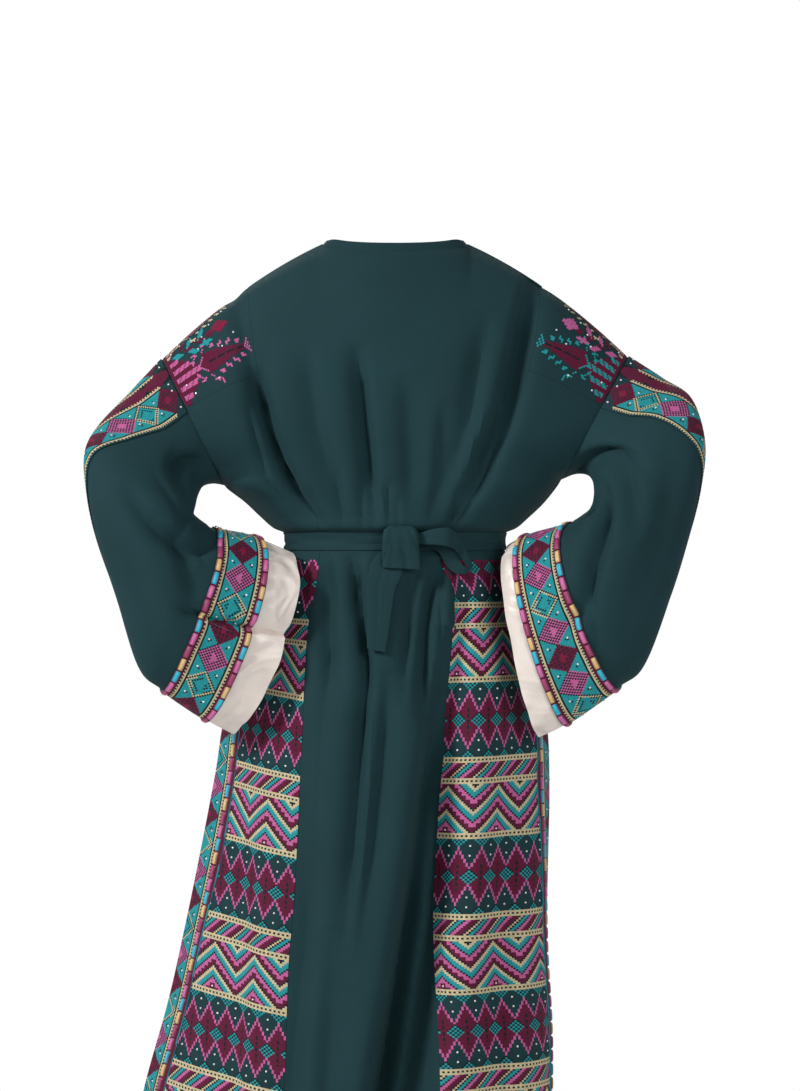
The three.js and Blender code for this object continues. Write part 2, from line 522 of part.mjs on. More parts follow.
// A solid lofted through rings of points, closed by a fan at each end.
function capped(rings) {
  const count = rings[0].length;
  const points = rings.flat();
  const middles = [rings[0], rings[rings.length - 1]].map((ring) =>
    ring.reduce((sum, p) => sum.add(p), new THREE.Vector3()).divideScalar(count),
  );
  const faces = [];
  for (let i = 0; i + 1 < rings.length; i++) {
    for (let k = 0; k < count; k++) {
      const [a, b] = [i * count + k, i * count + ((k + 1) % count)];
      faces.push(a, b, b + count, a, b + count, a + count);
    }
  }
  const [first, last] = [points.length, points.length + 1];
  for (let k = 0; k < count; k++) {
    const n = (k + 1) % count;
    faces.push(first, n, k, last, (rings.length - 1) * count + k, (rings.length - 1) * count + n);
  }
  const all = points.concat(middles);
  return closed(all, faces);
}

const garment = new THREE.Group();

function add(name, geometry, material) {
  const mesh = new THREE.Mesh(geometry, material);
  mesh.name = name;
  garment.add(mesh);
}

const slice = (grid, firstRow, lastRow, firstColumn, lastColumn) =>
  grid.slice(firstRow, lastRow + 1).map((row) => row.slice(firstColumn, lastColumn + 1));

const back = bodyGrid(1);
const front = bodyGrid(-1);
const sleeves = { left: sleeveGrid(1, 0, SATIN_RING, SLEEVE_RINGS), right: sleeveGrid(-1, 0, SATIN_RING, SLEEVE_RINGS) };
const mouths = { left: sleeveGrid(1, SATIN_RING, MOUTH_RING, 3), right: sleeveGrid(-1, SATIN_RING, MOUTH_RING, 3) };

function outwardOfBody(face) {
  return (p, i) => new THREE.Vector3(p.x * 0.4, face * 100, i < 3 ? 80 : 0);
}

addNormals(back, outwardOfBody(1), false);
addNormals(front, outwardOfBody(-1), false);
for (const [name, side] of [["left", 1], ["right", -1]]) {
  for (const grid of [sleeves[name], mouths[name]]) {
    const centres = grid.map((row) => row.reduce((sum, p) => sum.add(p), new THREE.Vector3()).divideScalar(row.length));
    addNormals(grid, (p, i) => p.clone().sub(centres[i].clone().add(centres[i + 1]).multiplyScalar(0.5)), true);
  }
}

const MIDDLE = SIDE_COLUMN; // index of the centre column in a grid row
const LAST = BODY_ROWS - 1;

function buildBack() {
  add("back_centre", wall(slice(back, 0, LAST, MIDDLE - SEAM_COLUMN, MIDDLE + SEAM_COLUMN)), COLOURS.cloth);
  add("side_back_left", wall(slice(back, YOKE_ROW, LAST, MIDDLE + SEAM_COLUMN, 2 * SIDE_COLUMN)), COLOURS.embroidered);
  add("side_back_right", wall(slice(back, YOKE_ROW, LAST, 0, MIDDLE - SEAM_COLUMN)), COLOURS.embroidered);
}

// The two front halves meet at the centre, and part at the top to make the neck slit.
function buildFront() {
  for (const [name, side] of [["left", 1], ["right", -1]]) {
    const from = side > 0 ? MIDDLE : MIDDLE - SEAM_COLUMN;
    const half = slice(front, 0, LAST, from, from + SEAM_COLUMN).map((row) => row.map((p) => p));
    const centre = side > 0 ? 0 : SEAM_COLUMN;
    for (const row of half) {
      const below = front[0][MIDDLE].z - row[centre].z;
      const open = SLIT_HALF_WIDTH * clamp01(1 - below / SLIT_LENGTH);
      const moved = row[centre].clone();
      moved.x += side * open;
      normals.set(placeOf(moved), normalAt(row[centre]));
      row[centre] = moved;
    }
    add("front_" + name, wall(half), COLOURS.cloth);
    const first = side > 0 ? MIDDLE + SEAM_COLUMN : 0;
    const last = side > 0 ? 2 * SIDE_COLUMN : MIDDLE - SEAM_COLUMN;
    add("side_front_" + name, wall(slice(front, YOKE_ROW, LAST, first, last)), COLOURS.embroidered);
  }
}

// Each shoulder piece runs from the front yoke line over the shoulder to the back yoke line.
function buildShoulders() {
  for (const [name, side] of [["left", 1], ["right", -1]]) {
    const first = side > 0 ? MIDDLE + SEAM_COLUMN : 0;
    const last = side > 0 ? 2 * SIDE_COLUMN : MIDDLE - SEAM_COLUMN;
    const over = slice(front, 1, YOKE_ROW, first, last).reverse();
    add("shoulder_" + name, wall(over.concat(slice(back, 0, YOKE_ROW, first, last))), COLOURS.cloth);
  }
}

// A border of constant width down each side of the skirt, over the side seam, with a corded line at each edge.
function buildSideStrips() {
  const from = ARMHOLE_ROWS + 1 + STRIP_TOP_SECTION;
  for (const [name, side] of [["left", 1], ["right", -1]]) {
    const grid = [];
    for (let i = from; i <= LAST; i++) {
      const row = [];
      for (let c = STRIP_COLUMN; c <= SIDE_COLUMN; c++) row.push(back[i][MIDDLE + side * c]);
      for (let c = SIDE_COLUMN - 1; c >= STRIP_COLUMN; c--) row.push(front[i][MIDDLE + side * c]);
      grid.push(row);
    }
    const edge = grid[0].length - 1;
    const low = CLOTH + GAP;
    const high = (i, k) => low + TRIM + (k === 0 || k === edge ? RIDGE : 0);
    add("side_strip_" + name, wall(grid, { low, high }), COLOURS.border);
  }
}

// A sleeve, its strip along the outer line, its cuff border and the satin at its mouth.
function buildSleeves() {
  const borderStart = Math.round((BORDER_RING / SATIN_RING) * (SLEEVE_RINGS - 1));
  for (const [name] of [["left", 1], ["right", -1]]) {
    const grid = sleeves[name];
    add("sleeve_" + name, wall(grid, { wraps: true, trim: 2 * GAP }), COLOURS.cloth);
    const low = CLOTH + GAP;
    const strip = grid.slice(0, borderStart + 1).map((row) => {
      const part = [];
      for (let k = SLEEVE_STRIP.front; k <= SLEEVE_STRIP.back; k++) part.push(row[(k + SLEEVE_POINTS) % SLEEVE_POINTS]);
      return part;
    });
    add("sleeve_strip_" + name, wall(strip, { low, high: low + TRIM, trim: 2 * GAP }), COLOURS.border);
    const border = grid.slice(borderStart);
    const rim = border.length - 1;
    const high = (i) => low + TRIM + (i === 0 || i === rim ? RIDGE : 0);
    add("cuff_border_" + name, wall(border, { low, high, wraps: true, trim: 2 * GAP }), COLOURS.border);
    add("cuff_satin_" + name, wall(mouths[name], { wraps: true }), COLOURS.satin);
  }
}

// A narrow standing band round the neck, open at the front slit.
function buildNeckband() {
  const edge = [];
  for (let c = 0; c <= NECK_COLUMNS; c++) edge.push(front[0][MIDDLE + c]);
  for (let c = NECK_COLUMNS - 1; c >= -NECK_COLUMNS; c--) edge.push(back[0][MIDDLE + c]);
  for (let c = -NECK_COLUMNS + 1; c <= 0; c++) edge.push(front[0][MIDDLE + c]);
  const lean = (p) => new THREE.Vector3(-0.25 * p.x, -0.25 * p.y, NECKBAND_HEIGHT * 2).normalize();
  const stand = (p, height) => p.clone().addScaledVector(lean(p), height);
  const lift = CLOTH + GAP;
  const rows = [0, 0.5, 1].map((share) => edge.map((p) => stand(p, lift + NECKBAND_HEIGHT * share)));
  rows.forEach((row) => {
    row[0].x += SLIT_HALF_WIDTH;
    row[row.length - 1].x -= SLIT_HALF_WIDTH;
  });
  const normalOf = (p) => new THREE.Vector3(p.x, p.y, 0).normalize();
  add("neckband", wall(rows, { low: -CLOTH / 2, high: CLOTH / 2, normalOf }), COLOURS.cloth);
}

// Height of the back's outer face over a place, the most found within the given reach around it.
function backCover(x, z, reach) {
  let most = -Infinity;
  for (const [dx, dz] of [[0, 0], [reach, 0], [-reach, 0], [0, reach], [0, -reach]]) {
    for (let i = 0; i + 1 < back.length; i++) {
      for (let k = 0; k + 1 < back[i].length; k++) {
        const [a, b, c, d] = [back[i][k], back[i][k + 1], back[i + 1][k + 1], back[i + 1][k]];
        for (const [p, q, r] of [[a, b, c], [a, c, d]]) {
          const area = (q.x - p.x) * (r.z - p.z) - (r.x - p.x) * (q.z - p.z);
          const u = ((x + dx - p.x) * (r.z - p.z) - (r.x - p.x) * (z + dz - p.z)) / area;
          const v = ((q.x - p.x) * (z + dz - p.z) - (x + dx - p.x) * (q.z - p.z)) / area;
          if (u < 0 || v < 0 || u + v > 1) continue;
          most = Math.max(most, p.y + u * (q.y - p.y) + v * (r.y - p.y));
        }
      }
    }
  }
  return most + CLOTH;
}

function buildBelt() {
  const round = [];
  for (const i of [BELT_TOP_SECTION, BELT_LOW_SECTION]) {
    const ring = back[ARMHOLE_ROWS + 1 + i].slice();
    for (let k = 2 * SIDE_COLUMN - 1; k > 0; k--) ring.push(front[ARMHOLE_ROWS + 1 + i][k]);
    round.push(ring);
  }
  const low = CLOTH + GAP;
  add("belt_band", wall(round, { low, high: low + BELT_THICKNESS, wraps: true }), COLOURS.cloth);

  const beltFace = CLOTH + GAP + BELT_THICKNESS; // over the body's own surface
  const knot = KNOT.map((s) => {
    const [middle, half] = [(s.leftX + s.rightX) / 2, (s.leftX - s.rightX) / 2];
    const onBelt = s.z < SECTIONS[BELT_TOP_SECTION].z && s.z > SECTIONS[BELT_LOW_SECTION].z;
    const behind = (x) => (onBelt ? backCover(x, s.z, 1) - CLOTH + beltFace : backCover(x, s.z, 7)) + GAP;
    const rim = [[1, 0.25], [1, 0.65], [0.86, 0.92], [0.3, 1], [-0.3, 1], [-0.86, 0.92], [-1, 0.65], [-1, 0.25]];
    const under = [-0.86, 0, 0.86];
    const back = (x) => s.back || behind(x);
    const base = back(middle);
    return [
      ...rim.map(([u, v]) => new THREE.Vector3(middle + half * u, lerp(base, s.front, v), s.z)),
      ...under.map((u) => new THREE.Vector3(middle + half * u, back(middle + half * u), s.z)),
    ];
  });
  add("belt_knot", capped(knot), COLOURS.cloth);

  const tail = TAIL.map((s) =>
    [0, 1 / 3, 2 / 3, 1].map((t) => {
      const [x, z] = [lerp(s.leftX, s.rightX, t), lerp(s.leftZ, s.rightZ, t)];
      const cover = Math.max(backCover(x, z, 10), backCover((s.leftX + s.rightX) / 2, z, 14));
      return new THREE.Vector3(x, s.y || cover + s.lift, z);
    }),
  );
  addNormals(tail, () => new THREE.Vector3(0, 1, 0), false);
  add("belt_tail", wall(tail, { high: BELT_THICKNESS }), COLOURS.cloth);

  const loop = LOOP.map((s) =>
    [0, 0.5, 1].map((t) => {
      const base = backCover((s.outX + s.inX) / 2, (s.outZ + s.inZ) / 2, 14);
      return new THREE.Vector3(lerp(s.outX, s.inX, t), base + s.lift, lerp(s.outZ, s.inZ, t));
    }),
  );
  const centre = loop.flat().reduce((sum, p) => sum.add(p), new THREE.Vector3()).divideScalar(loop.length * 3);
  addNormals(loop, (p) => p.clone().sub(centre), false);
  add("belt_loop", wall(loop, { high: CLOTH }), COLOURS.cloth);
}

buildBack();
buildFront();
buildShoulders();
buildSideStrips();
buildSleeves();
buildNeckband();
buildBelt();

export default garment;
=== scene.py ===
import math

import bmesh
import bpy
import numpy as np
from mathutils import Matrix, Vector


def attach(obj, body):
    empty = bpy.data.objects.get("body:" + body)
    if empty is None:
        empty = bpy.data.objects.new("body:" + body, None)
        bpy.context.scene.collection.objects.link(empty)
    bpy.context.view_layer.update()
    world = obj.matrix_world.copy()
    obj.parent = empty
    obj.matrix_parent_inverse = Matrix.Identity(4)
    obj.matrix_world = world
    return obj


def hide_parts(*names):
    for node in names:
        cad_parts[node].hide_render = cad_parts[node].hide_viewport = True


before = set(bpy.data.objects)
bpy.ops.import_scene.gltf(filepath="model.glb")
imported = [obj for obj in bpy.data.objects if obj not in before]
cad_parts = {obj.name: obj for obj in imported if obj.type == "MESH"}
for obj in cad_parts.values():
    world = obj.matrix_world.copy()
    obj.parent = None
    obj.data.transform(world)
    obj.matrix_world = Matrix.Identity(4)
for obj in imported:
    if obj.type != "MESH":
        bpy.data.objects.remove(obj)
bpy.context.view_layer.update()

# Driving dimensions, in millimetres
CLOTH = 2.0
TRIM = 1.4
GAP = 0.3
NECK_HALF_WIDTH = 92
BACK_NECK = (60, -14)
FRONT_NECK = (-72, -96)
SHOULDER_ARCH = 54
UNDERARM = {"z": -300, "back": 100, "front": -128, "seamL": 138, "seamR": -122}
SLIT_LENGTH, SLIT_HALF_WIDTH = 115, 2.4
STRIP_WIDTH = 74
NECKBAND_HEIGHT = 13
BELT_THICKNESS = 2.6
NECK_COLUMNS, SEAM_COLUMN, STRIP_COLUMN, SIDE_COLUMN = 4, 8, 11, 13
ARMHOLE_ROWS, YOKE_ROW = 9, 4
STITCH = 2.15  # side of one cross stitch
BAND_HALF_WIDTH = 63
YOKE_SEAM = 188  # the back's and front's seams meet the yoke here
PANEL_PITCH = 2.47  # height of one stitch of the skirt panels
PANEL_STEP = {1: 2.8, -1: 2.95}  # its width on the wearer's left and right
PANEL_GATHER = 0.17  # share by which it is narrower at the belt
THREAD_LIFT, STONE_LIFT = 0.35, 0.4
BEAD_WIDTH, BEAD_HEIGHT = 8.0, 2.8
STONE_RADIUS = 1.4
NECK_QUARTER = 32  # steps of the neckband along a quarter of the neckline
CUFF_START = {1: 6, -1: 34}  # where the cuff's row of diamonds starts, in stitches

# Rings of each sleeve: outX outY outZ inX inY inZ depthX depthY taper twist
SLEEVES = {
    1: np.array([
        [297, 0, -148, 218, 0, -306, 0, 60, 0.3, 0],
        [337, 20, -193, 232, 18, -304, 0, 58, 0.3, 12],
        [373, 48, -234, 245, 40, -308, -2, 57, 0.25, 28],
        [388, 82, -267, 251, 60, -320, -5, 56, 0.2, 44],
        [385, 102, -310, 254, 74, -334, -8, 57, 0.15, 52],
        [372, 112, -374, 256, 80, -345, -10, 58, 0.15, 58],
        [347, 110, -451, 251, 78, -351, -12, 60, 0.2, 60],
        [320, 104, -537, 242, 72, -358, -15, 60, 0.25, 60],
        [291, 98, -565, 229, 64, -366, -19, 58, 0.3, 60],
        [234, 88, -604, 176, 50, -376, -29, 53, 0.3, 60],
        [201, 82, -620, 147, 41, -385, -40, 49, 0.3, 60],
    ], float),
    -1: np.array([
        [297, 0, -145, 212, 0, -299, 0, 60, 0.3, 0],
        [341, 20, -175, 230, 18, -292, 0, 58, 0.3, 10],
        [374, 48, -201, 246, 40, -294, -2, 57, 0.25, 20],
        [388, 82, -256, 253, 60, -306, -5, 56, 0.2, 42],
        [382, 102, -307, 252, 74, -325, -8, 57, 0.15, 56],
        [368, 112, -366, 247, 80, -340, -12, 58, 0.15, 60],
        [343, 110, -449, 239, 78, -348, -18, 60, 0.2, 60],
        [310, 104, -535, 231, 72, -354, -25, 60, 0.25, 60],
        [279, 98, -562, 223, 64, -360, -28, 58, 0.3, 60],
        [212, 90, -610, 163, 50, -376, -24, 53, 0.3, 60],
        [180, 85, -626, 144, 41, -385, -17, 49, 0.3, 60],
    ], float),
}
BORDER_RING, SATIN_RING, MOUTH_RING = 8, 9, 10

# Sections of the body below the underarm: z sway half back front seamL seamR turnL turnR turnFR riseL riseR
SECTIONS = np.array([
    [-330, 0, 189, 99, -126, 115, -102, 88, 88, 88, 0, 0],
    [-348, 0, 170, 100, -124, 103, -86, 88, 88, 88, 0, 0],
    [-361, 0, 155, 99, -119, 97, -74, 88, 88, 88, 0, 0],
    [-368, 0, 140, 88, -107, 94, -68, 88, 88, 88, 0, 0],
    [-391, 0, 139, 87, -106, 94, -62, 88, 88, 88, 0, 0],
    [-404, 0, 145, 95, -114, 96.5, -60, 88, 88, 88, 0, 0],
    [-440, 1, 151, 104, -120, 101.5, -73, 84, 86, 88, 0.02, 0],
    [-490, 2, 163, 114, -127, 108.5, -75.5, 78, 84, 90, 0.08, 0.01],
    [-545, 5, 180, 122, -132, 113, -76, 70, 82, 92, 0.14, 0.02],
    [-610, 10.5, 200.5, 128, -137, 118, -74.5, 60, 80, 94, 0.19, 0.03],
    [-700, 16, 210.5, 135, -142, 123, -71.5, 52, 80, 96, 0.21, 0.03],
    [-800, 26.5, 218.5, 140, -147, 130, -66, 48, 90, 88, 0.22, 0.03],
    [-900, 37.5, 227.5, 145, -152, 138, -61, 46, 98, 80, 0.22, 0.03],
    [-1000, 46, 240.5, 150, -157, 140.5, -59, 45, 102, 74, 0.22, 0.03],
    [-1110, 60, 255.5, 156, -163, 143, -57, 45, 104, 72, 0.22, 0.03],
    [-1220, 69.5, 269.5, 163, -170, 146, -56, 45, 104, 72, 0.22, 0.03],
    [-1320, 77.5, 282.5, 169, -176, 148, -54, 45, 104, 72, 0.22, 0.03],
    [-1400, 82.5, 292.5, 174, -181, 150, -52, 45, 104, 72, 0.22, 0.03],
], float)
BELT_TOP_SECTION, BELT_LOW_SECTION, STRIP_TOP_SECTION = 3, 4, 6
BODY_ROWS = ARMHOLE_ROWS + 1 + len(SECTIONS)
TOP_BLEND_ROWS = 4
BELT_CALM = 8

# Folds of the body, each a trough along a line: face topX topZ midX midZ lowX lowZ width depth.
# A trough is steeper on its right where its width is above zero, and on its left where it is below.
FOLDS = [
    (1, 180, -160, 150, -276, 94, -369, 13, 26),
    (1, 214, -50, 184, -150, 164, -250, -16, 11),
    (1, -176, -40, -142, -200, -70, -369, -14, 27),
    (1, -118, -90, -98, -220, -54, -356, 13, 11),
    (1, 47, -130, 34, -250, 24, -369, 11, 20),
    (1, -14, -170, -20, -280, -22, -362, -20, 10),
    (1, 112, -130, 96, -240, 62, -366, 14, 10),
    (1, -62, -200, -56, -300, -44, -366, -12, 8),
    (1, 32, -520, 46, -678, 64, -900, 11, 16),
    (1, 8, -540, 19, -680, 44, -900, -12, 12),
    (1, -56, -400, -42, -490, -34, -620, 10, 20),
    (1, -70, -490, -40, -769, 78, -1420, -24, 54),
    (1, -74, -660, -62, -850, 36, -1420, -16, 30),
    (1, -30, -400, -22, -470, -12, -560, 9, 8),
    (1, 92, -396, 91, -469, 80, -600, -11, 12),
    (1, 47, -394, 43, -468, 30, -580, 9, 17),
    (1, 120, -520, 118, -760, 130, -1000, 20, 7),
    (1, -92, -396, -88, -520, -74, -680, 12, 9),
    (1, 104, -700, 124, -1000, 150, -1420, 26, 11),
    (1, 74, -860, 86, -1100, 106, -1420, -24, 12),
    (1, 190, -620, 196, -900, 230, -1420, 26, 9),
    (1, -150, -560, -140, -900, -125, -1420, 22, 11),
    (-1, 110, -150, 92, -270, 76, -366, 14, 13),
    (-1, -105, -170, -90, -290, -72, -366, -14, 13),
    (-1, 34, -250, 32, -310, 30, -366, 12, 9),
    (-1, -28, -260, -28, -315, -26, -366, -12, 9),
    (-1, 0, -290, 2, -330, 2, -366, 10, 6),
    (-1, 88, -396, 100, -700, 140, -1420, 20, 20),
    (-1, 40, -396, 56, -620, 84, -960, -14, 15),
    (-1, 6, -396, 18, -760, 52, -1420, 18, 20),
    (-1, -42, -396, -36, -640, -18, -1000, -15, 15),
    (-1, -86, -396, -84, -720, -60, -1420, 20, 20),
    (-1, 180, -540, 200, -900, 240, -1420, 24, 11),
    (-1, -146, -540, -142, -900, -132, -1420, 22, 11),
]
# Finer folds, with the same columns
FINE_FOLDS = [
    (1, 190, -200, 168, -300, 116, -360, 5, 6),
    (1, 166, -230, 128, -320, 84, -366, -5, 5),
    (1, -182, -70, -150, -240, -84, -360, 5.5, 6),
    (1, -150, -200, -118, -300, -76, -366, -5, 4),
    (1, 76, -280, 70, -330, 64, -370, 5, 5),
    (1, 44, -300, 42, -340, 40, -370, 4.5, 4),
    (1, 10, -300, 9, -335, 8, -370, -5, 5),
    (1, -4, -322, -4, -344, -5, -370, 4.5, 3),
    (1, -84, -300, -76, -340, -66, -370, 4.5, 5),
    (1, 108, -310, 96, -340, 84, -370, 5, 4),
    (1, 84, -394, 80, -430, 78, -480, 5, 5),
    (1, 56, -394, 53, -440, 50, -490, 5, 5),
    (1, -16, -412, -18, -500, -10, -600, 7, 5),
    (1, 30, -440, 34, -560, 44, -700, 6, 4),
    (1, 84, -480, 92, -640, 104, -800, 8, 4),
    (1, -64, -394, -60, -440, -58, -520, 5, 6),
    (1, -76, -394, -78, -440, -80, -500, -5, 5),
    (1, -34, -700, -16, -850, 88, -1420, -8, 9),
    (1, -62, -780, -50, -1000, 2, -1420, 10, 7),
    (1, 104, -760, 118, -880, 138, -1100, 8, 4),
    (-1, 60, -290, 56, -335, 52, -370, 5, 5),
    (-1, 15, -300, 14, -335, 14, -370, -5, 4),
    (-1, -12, -300, -12, -335, -12, -370, 5, 4),
    (-1, -58, -290, -54, -335, -50, -370, 5, 5),
    (-1, 66, -394, 76, -560, 92, -760, 9, 6),
    (-1, -20, -394, -14, -560, -2, -760, 9, 6),
    (-1, 24, -394, 26, -480, 32, -600, 6, 5),
    (-1, -66, -394, -64, -480, -58, -600, -6, 5),
]
# Folds of a sleeve: side startRing startTurn endRing endTurn width depth, with side 0 for both
SLEEVE_FOLDS = [
    (1, 0.1, 128, 2.6, 122, 12, 15),
    (1, 1.2, 112, 3.6, 146, 12, 13),
    (1, 4.1, 72, 7.9, 152, 13, 18),
    (1, 5.9, 118, 7.9, 96, 14, 10),
    (1, 4.9, 48, 7.9, 58, 20, 8),
    (1, 7.1, 82, 10.4, 97, 6, 14),
    (-1, 0.1, 152, 3.3, 100, 11, 17),
    (-1, 1.4, 146, 5.2, 84, 13, 14),
    (-1, 3.4, 150, 8.2, 78, 12, 18),
    (-1, 4.2, 172, 5.6, 150, 7, 13),
    (-1, 3.0, 60, 6.8, 46, 22, 8),
    (0, 3.4, 330, 7.4, 250, 20, 12),
    (0, 0.6, 236, 2.8, 226, 18, 8),
    (0, 2.0, 250, 6.4, 214, 14, 9),
]
FINE_SLEEVE_FOLDS = [
    (1, 0.2, 134, 2.2, 150, 6, 5),
    (1, 1.0, 100, 3.2, 132, 6, 4),
    (1, 2.6, 96, 5.6, 150, 7, 5),
    (1, 4.6, 150, 6.2, 110, 6, 5),
    (1, 6.6, 160, 7.6, 120, 6, 5),
    (-1, 0.4, 166, 2.6, 134, 6, 5),
    (-1, 1.0, 128, 3.6, 84, 7, 4),
    (-1, 4.4, 140, 7.4, 100, 7, 6),
    (-1, 3.6, 176, 5.0, 158, 5, 7),
    (-1, 6.4, 120, 8.0, 50, 7, 5),
]

# Edges of the belt's hanging end: leftX leftZ rightX rightZ lift y
TAIL = [
    (19, -392.2, -9, -392.2, 0, 102),
    (29, -405, -10, -405, 0, 102),
    (34, -422, -8, -422, 1, 0),
    (36, -438, -1, -438, 1, 0),
    (35, -466, 4, -466, 1.5, 0),
    (35, -494, 8, -494, 2, 0),
    (35, -514, 12, -519, 2.5, 0),
]
# Edges of the belt's loop: outX outZ inX inZ lift
LOOP = [
    (-30.7, -370, -30.9, -383, 5),
    (-49, -364, -50, -384, 12),
    (-67, -363, -65, -386, 17),
    (-80, -374, -77, -392, 18),
    (-90, -393, -86, -404, 16),
    (-97, -413, -91, -420, 11),
    (-89, -412, -80, -421, 5),
    (-77, -397, -65, -411, 3.4),
    (-66, -384, -56, -395, 3.4),
    (-52, -374, -45, -387, 3.2),
    (-30.7, -370.5, -30.9, -383, 2.6),
]
# Sections of the knot: z leftX rightX back front
KNOT = [
    (-361, 8, -21, 0, 109),
    (-364.5, 13.6, -27.6, 0, 113),
    (-373, 15.2, -29.8, 0, 115),
    (-390.2, 15.5, -30.3, 0, 113),
    (-391.3, 15.6, -30.4, 105, 112.5),
    (-403, 15.8, -31.3, 105.8, 111),
    (-414, 15, -32, 106.9, 110.8),
]

# Creases of the knot: x z slope width depth
KNOT_CREASES = (
    (-20, -370, 0.5, 2.2, 1.6), (-6, -372, 0.2, 2.0, 1.4), (6, -374, -0.25, 2.0, 1.3),
    (-14, -395, 0.12, 2.2, 1.2), (4, -400, -0.1, 2.4, 1.2),
)


# Colours, linear
def srgb(code):
    c = [int(code[i : i + 2], 16) / 255 for i in (0, 2, 4)]
    return tuple(v / 12.92 if v < 0.04045 else ((v + 0.055) / 1.055) ** 2.4 for v in c)


CREPE = srgb("1c3b40")
PALETTE = {
    "maroon": srgb("661238"), "pink": srgb("cf6aa6"), "turquoise": srgb("24a0a8"), "cream": srgb("d8c9a2"),
    "dark": srgb("0b1d21"), "gold": srgb("e0bd80"), "rose": srgb("a13f6c"), "blue": srgb("22b9d6"),
    "ground": srgb("1c3b40"), "red": srgb("86163f"),
}
NAMES = list(PALETTE)
CODE = {name: i + 1 for i, name in enumerate(NAMES)}
MAROON, PINK, TURQ, CREAM, DARK, GOLD, ROSE, BLUE, GROUND, RED = (CODE[n] for n in NAMES)


# Surfaces
def lerp(a, b, t):
    return a + (b - a) * t


def unit(v):
    """Vectors of length 1."""
    return v / np.maximum(np.linalg.norm(v, axis=-1, keepdims=True), 1e-9)


def run_of(p, axis=0):
    """Length run along points, from 0 at the first."""
    steps = np.linalg.norm(np.diff(p, axis=axis), axis=-1)
    return np.concatenate([np.zeros_like(np.take(steps, [0], axis)), np.cumsum(steps, axis=axis)], axis)


def closed(p):
    """A grid with its first column again at its end."""
    return np.concatenate([p, p[:, :1]], 1)


def groove(t, at, width, depth):
    return depth * np.exp(-(((t - at) / width) ** 2))


def cubic(table, p):
    p = np.atleast_1d(np.asarray(p, float))
    i = np.clip(np.floor(p).astype(int), 0, len(table) - 2)
    f = (p - i)[:, None]
    a, b, c, d = (table[np.clip(i + k, 0, len(table) - 1)] for k in (-1, 0, 1, 2))
    return b + 0.5 * f * (c - a + f * (2 * a - 5 * b + 4 * c - d + f * (3 * (b - c) + d - a)))


def spline(u, rows, w):
    """Smooth curve through rows at the places u, read at the places w."""
    rows = np.asarray(rows, float)
    shape = (-1,) + (1,) * (rows.ndim - 1)
    h = np.diff(u)
    d = np.diff(rows, axis=0) / h.reshape(shape)
    m = np.empty_like(rows)
    before, after = h[:-1].reshape(shape), h[1:].reshape(shape)
    m[1:-1] = (after * d[:-1] + before * d[1:]) / (after + before)
    m[0], m[-1] = d[0], d[-1]
    i = np.clip(np.searchsorted(u, w, side="right") - 1, 0, len(u) - 2)
    t, g = ((w - u[i]) / h[i]).reshape(shape), h[i].reshape(shape)
    return (
        (1 + 2 * t) * (1 - t) ** 2 * rows[i] + t * (1 - t) ** 2 * g * m[i]
        + t * t * (3 - 2 * t) * rows[i + 1] + t * t * (t - 1) * g * m[i + 1]
    )


def sleeve_base(side, ring, turn):
    r = cubic(SLEEVES[side], ring)
    ox, oy, oz, ix, iy, iz, dx, dy, taper, _ = (r[:, k, None] for k in range(10))
    c = np.cos(np.radians(turn))
    s = np.sin(np.radians(turn)) * (1 - taper * c)
    return np.stack([
        side * ((ox + ix) / 2 + (ox - ix) / 2 * c + dx * s),
        (oy + iy) / 2 + (oy - iy) / 2 * c + dy * s,
        (oz + iz) / 2 + (oz - iz) / 2 * c + 0 * s,
    ], -1)


def sleeve_point(side, ring, turn):
    return sleeve_base(side, ring, np.array([[turn]]))[0, 0]


def line_depth(points, line, width, depth, sharp=2.0):
    best, share = np.full(points.shape[:-1], 1e9), np.zeros(points.shape[:-1])
    n = len(line) - 1
    for i in range(n):
        ab = line[i + 1] - line[i]
        t = np.clip(((points - line[i]) @ ab) / (ab @ ab), 0, 1)
        d = np.linalg.norm(points - line[i] - t[..., None] * ab, axis=-1)
        near = d < best
        best, share = np.where(near, d, best), np.where(near, (i + t) / n, share)
    return depth * np.exp(-((best / width) ** sharp)) * np.sin(np.pi * lerp(0.08, 0.92, share))


def sleeve_grid(side, rings, turns):
    """Points of a sleeve, rows of rings, with its folds."""
    twist = cubic(SLEEVES[side], rings)[:, 9:10]
    p = sleeve_base(side, rings, turns[None, :] - twist)
    middle = (sleeve_base(side, rings, np.full((len(rings), 1), 90.0))
              + sleeve_base(side, rings, np.full((len(rings), 1), 270.0))) / 2
    inward = unit(middle - p)
    fade = np.clip(rings, 0, 1)[:, None]
    loose = np.clip((rings - SATIN_RING + 0.4) / (MOUTH_RING - SATIN_RING + 0.4), 0, 1)[:, None]
    depth = np.zeros(p.shape[:2])
    for group, sharp, count in ((SLEEVE_FOLDS, 2.0, 7), (FINE_SLEEVE_FOLDS, 1.5, 13)):
        for which, r0, t0, r1, t1, width, deep in group:
            if which not in (0, side):
                continue
            stops = np.linspace(0, 1, count)
            line = np.array([sleeve_point(side, lerp(r0, r1, t), lerp(t0, t1, t)) for t in stops])
            depth += line_depth(p, line, width, deep, sharp)
    a = np.radians(turns)[None, :]
    waves = 2.6 * np.sin(5 * a + 0.6) + 1.7 * np.sin(9 * a + 2.1 * side) + np.sin(14 * a + 3 * loose)
    depth += loose * (waves + 2.6)
    return p + inward * (fade * depth)[..., None]


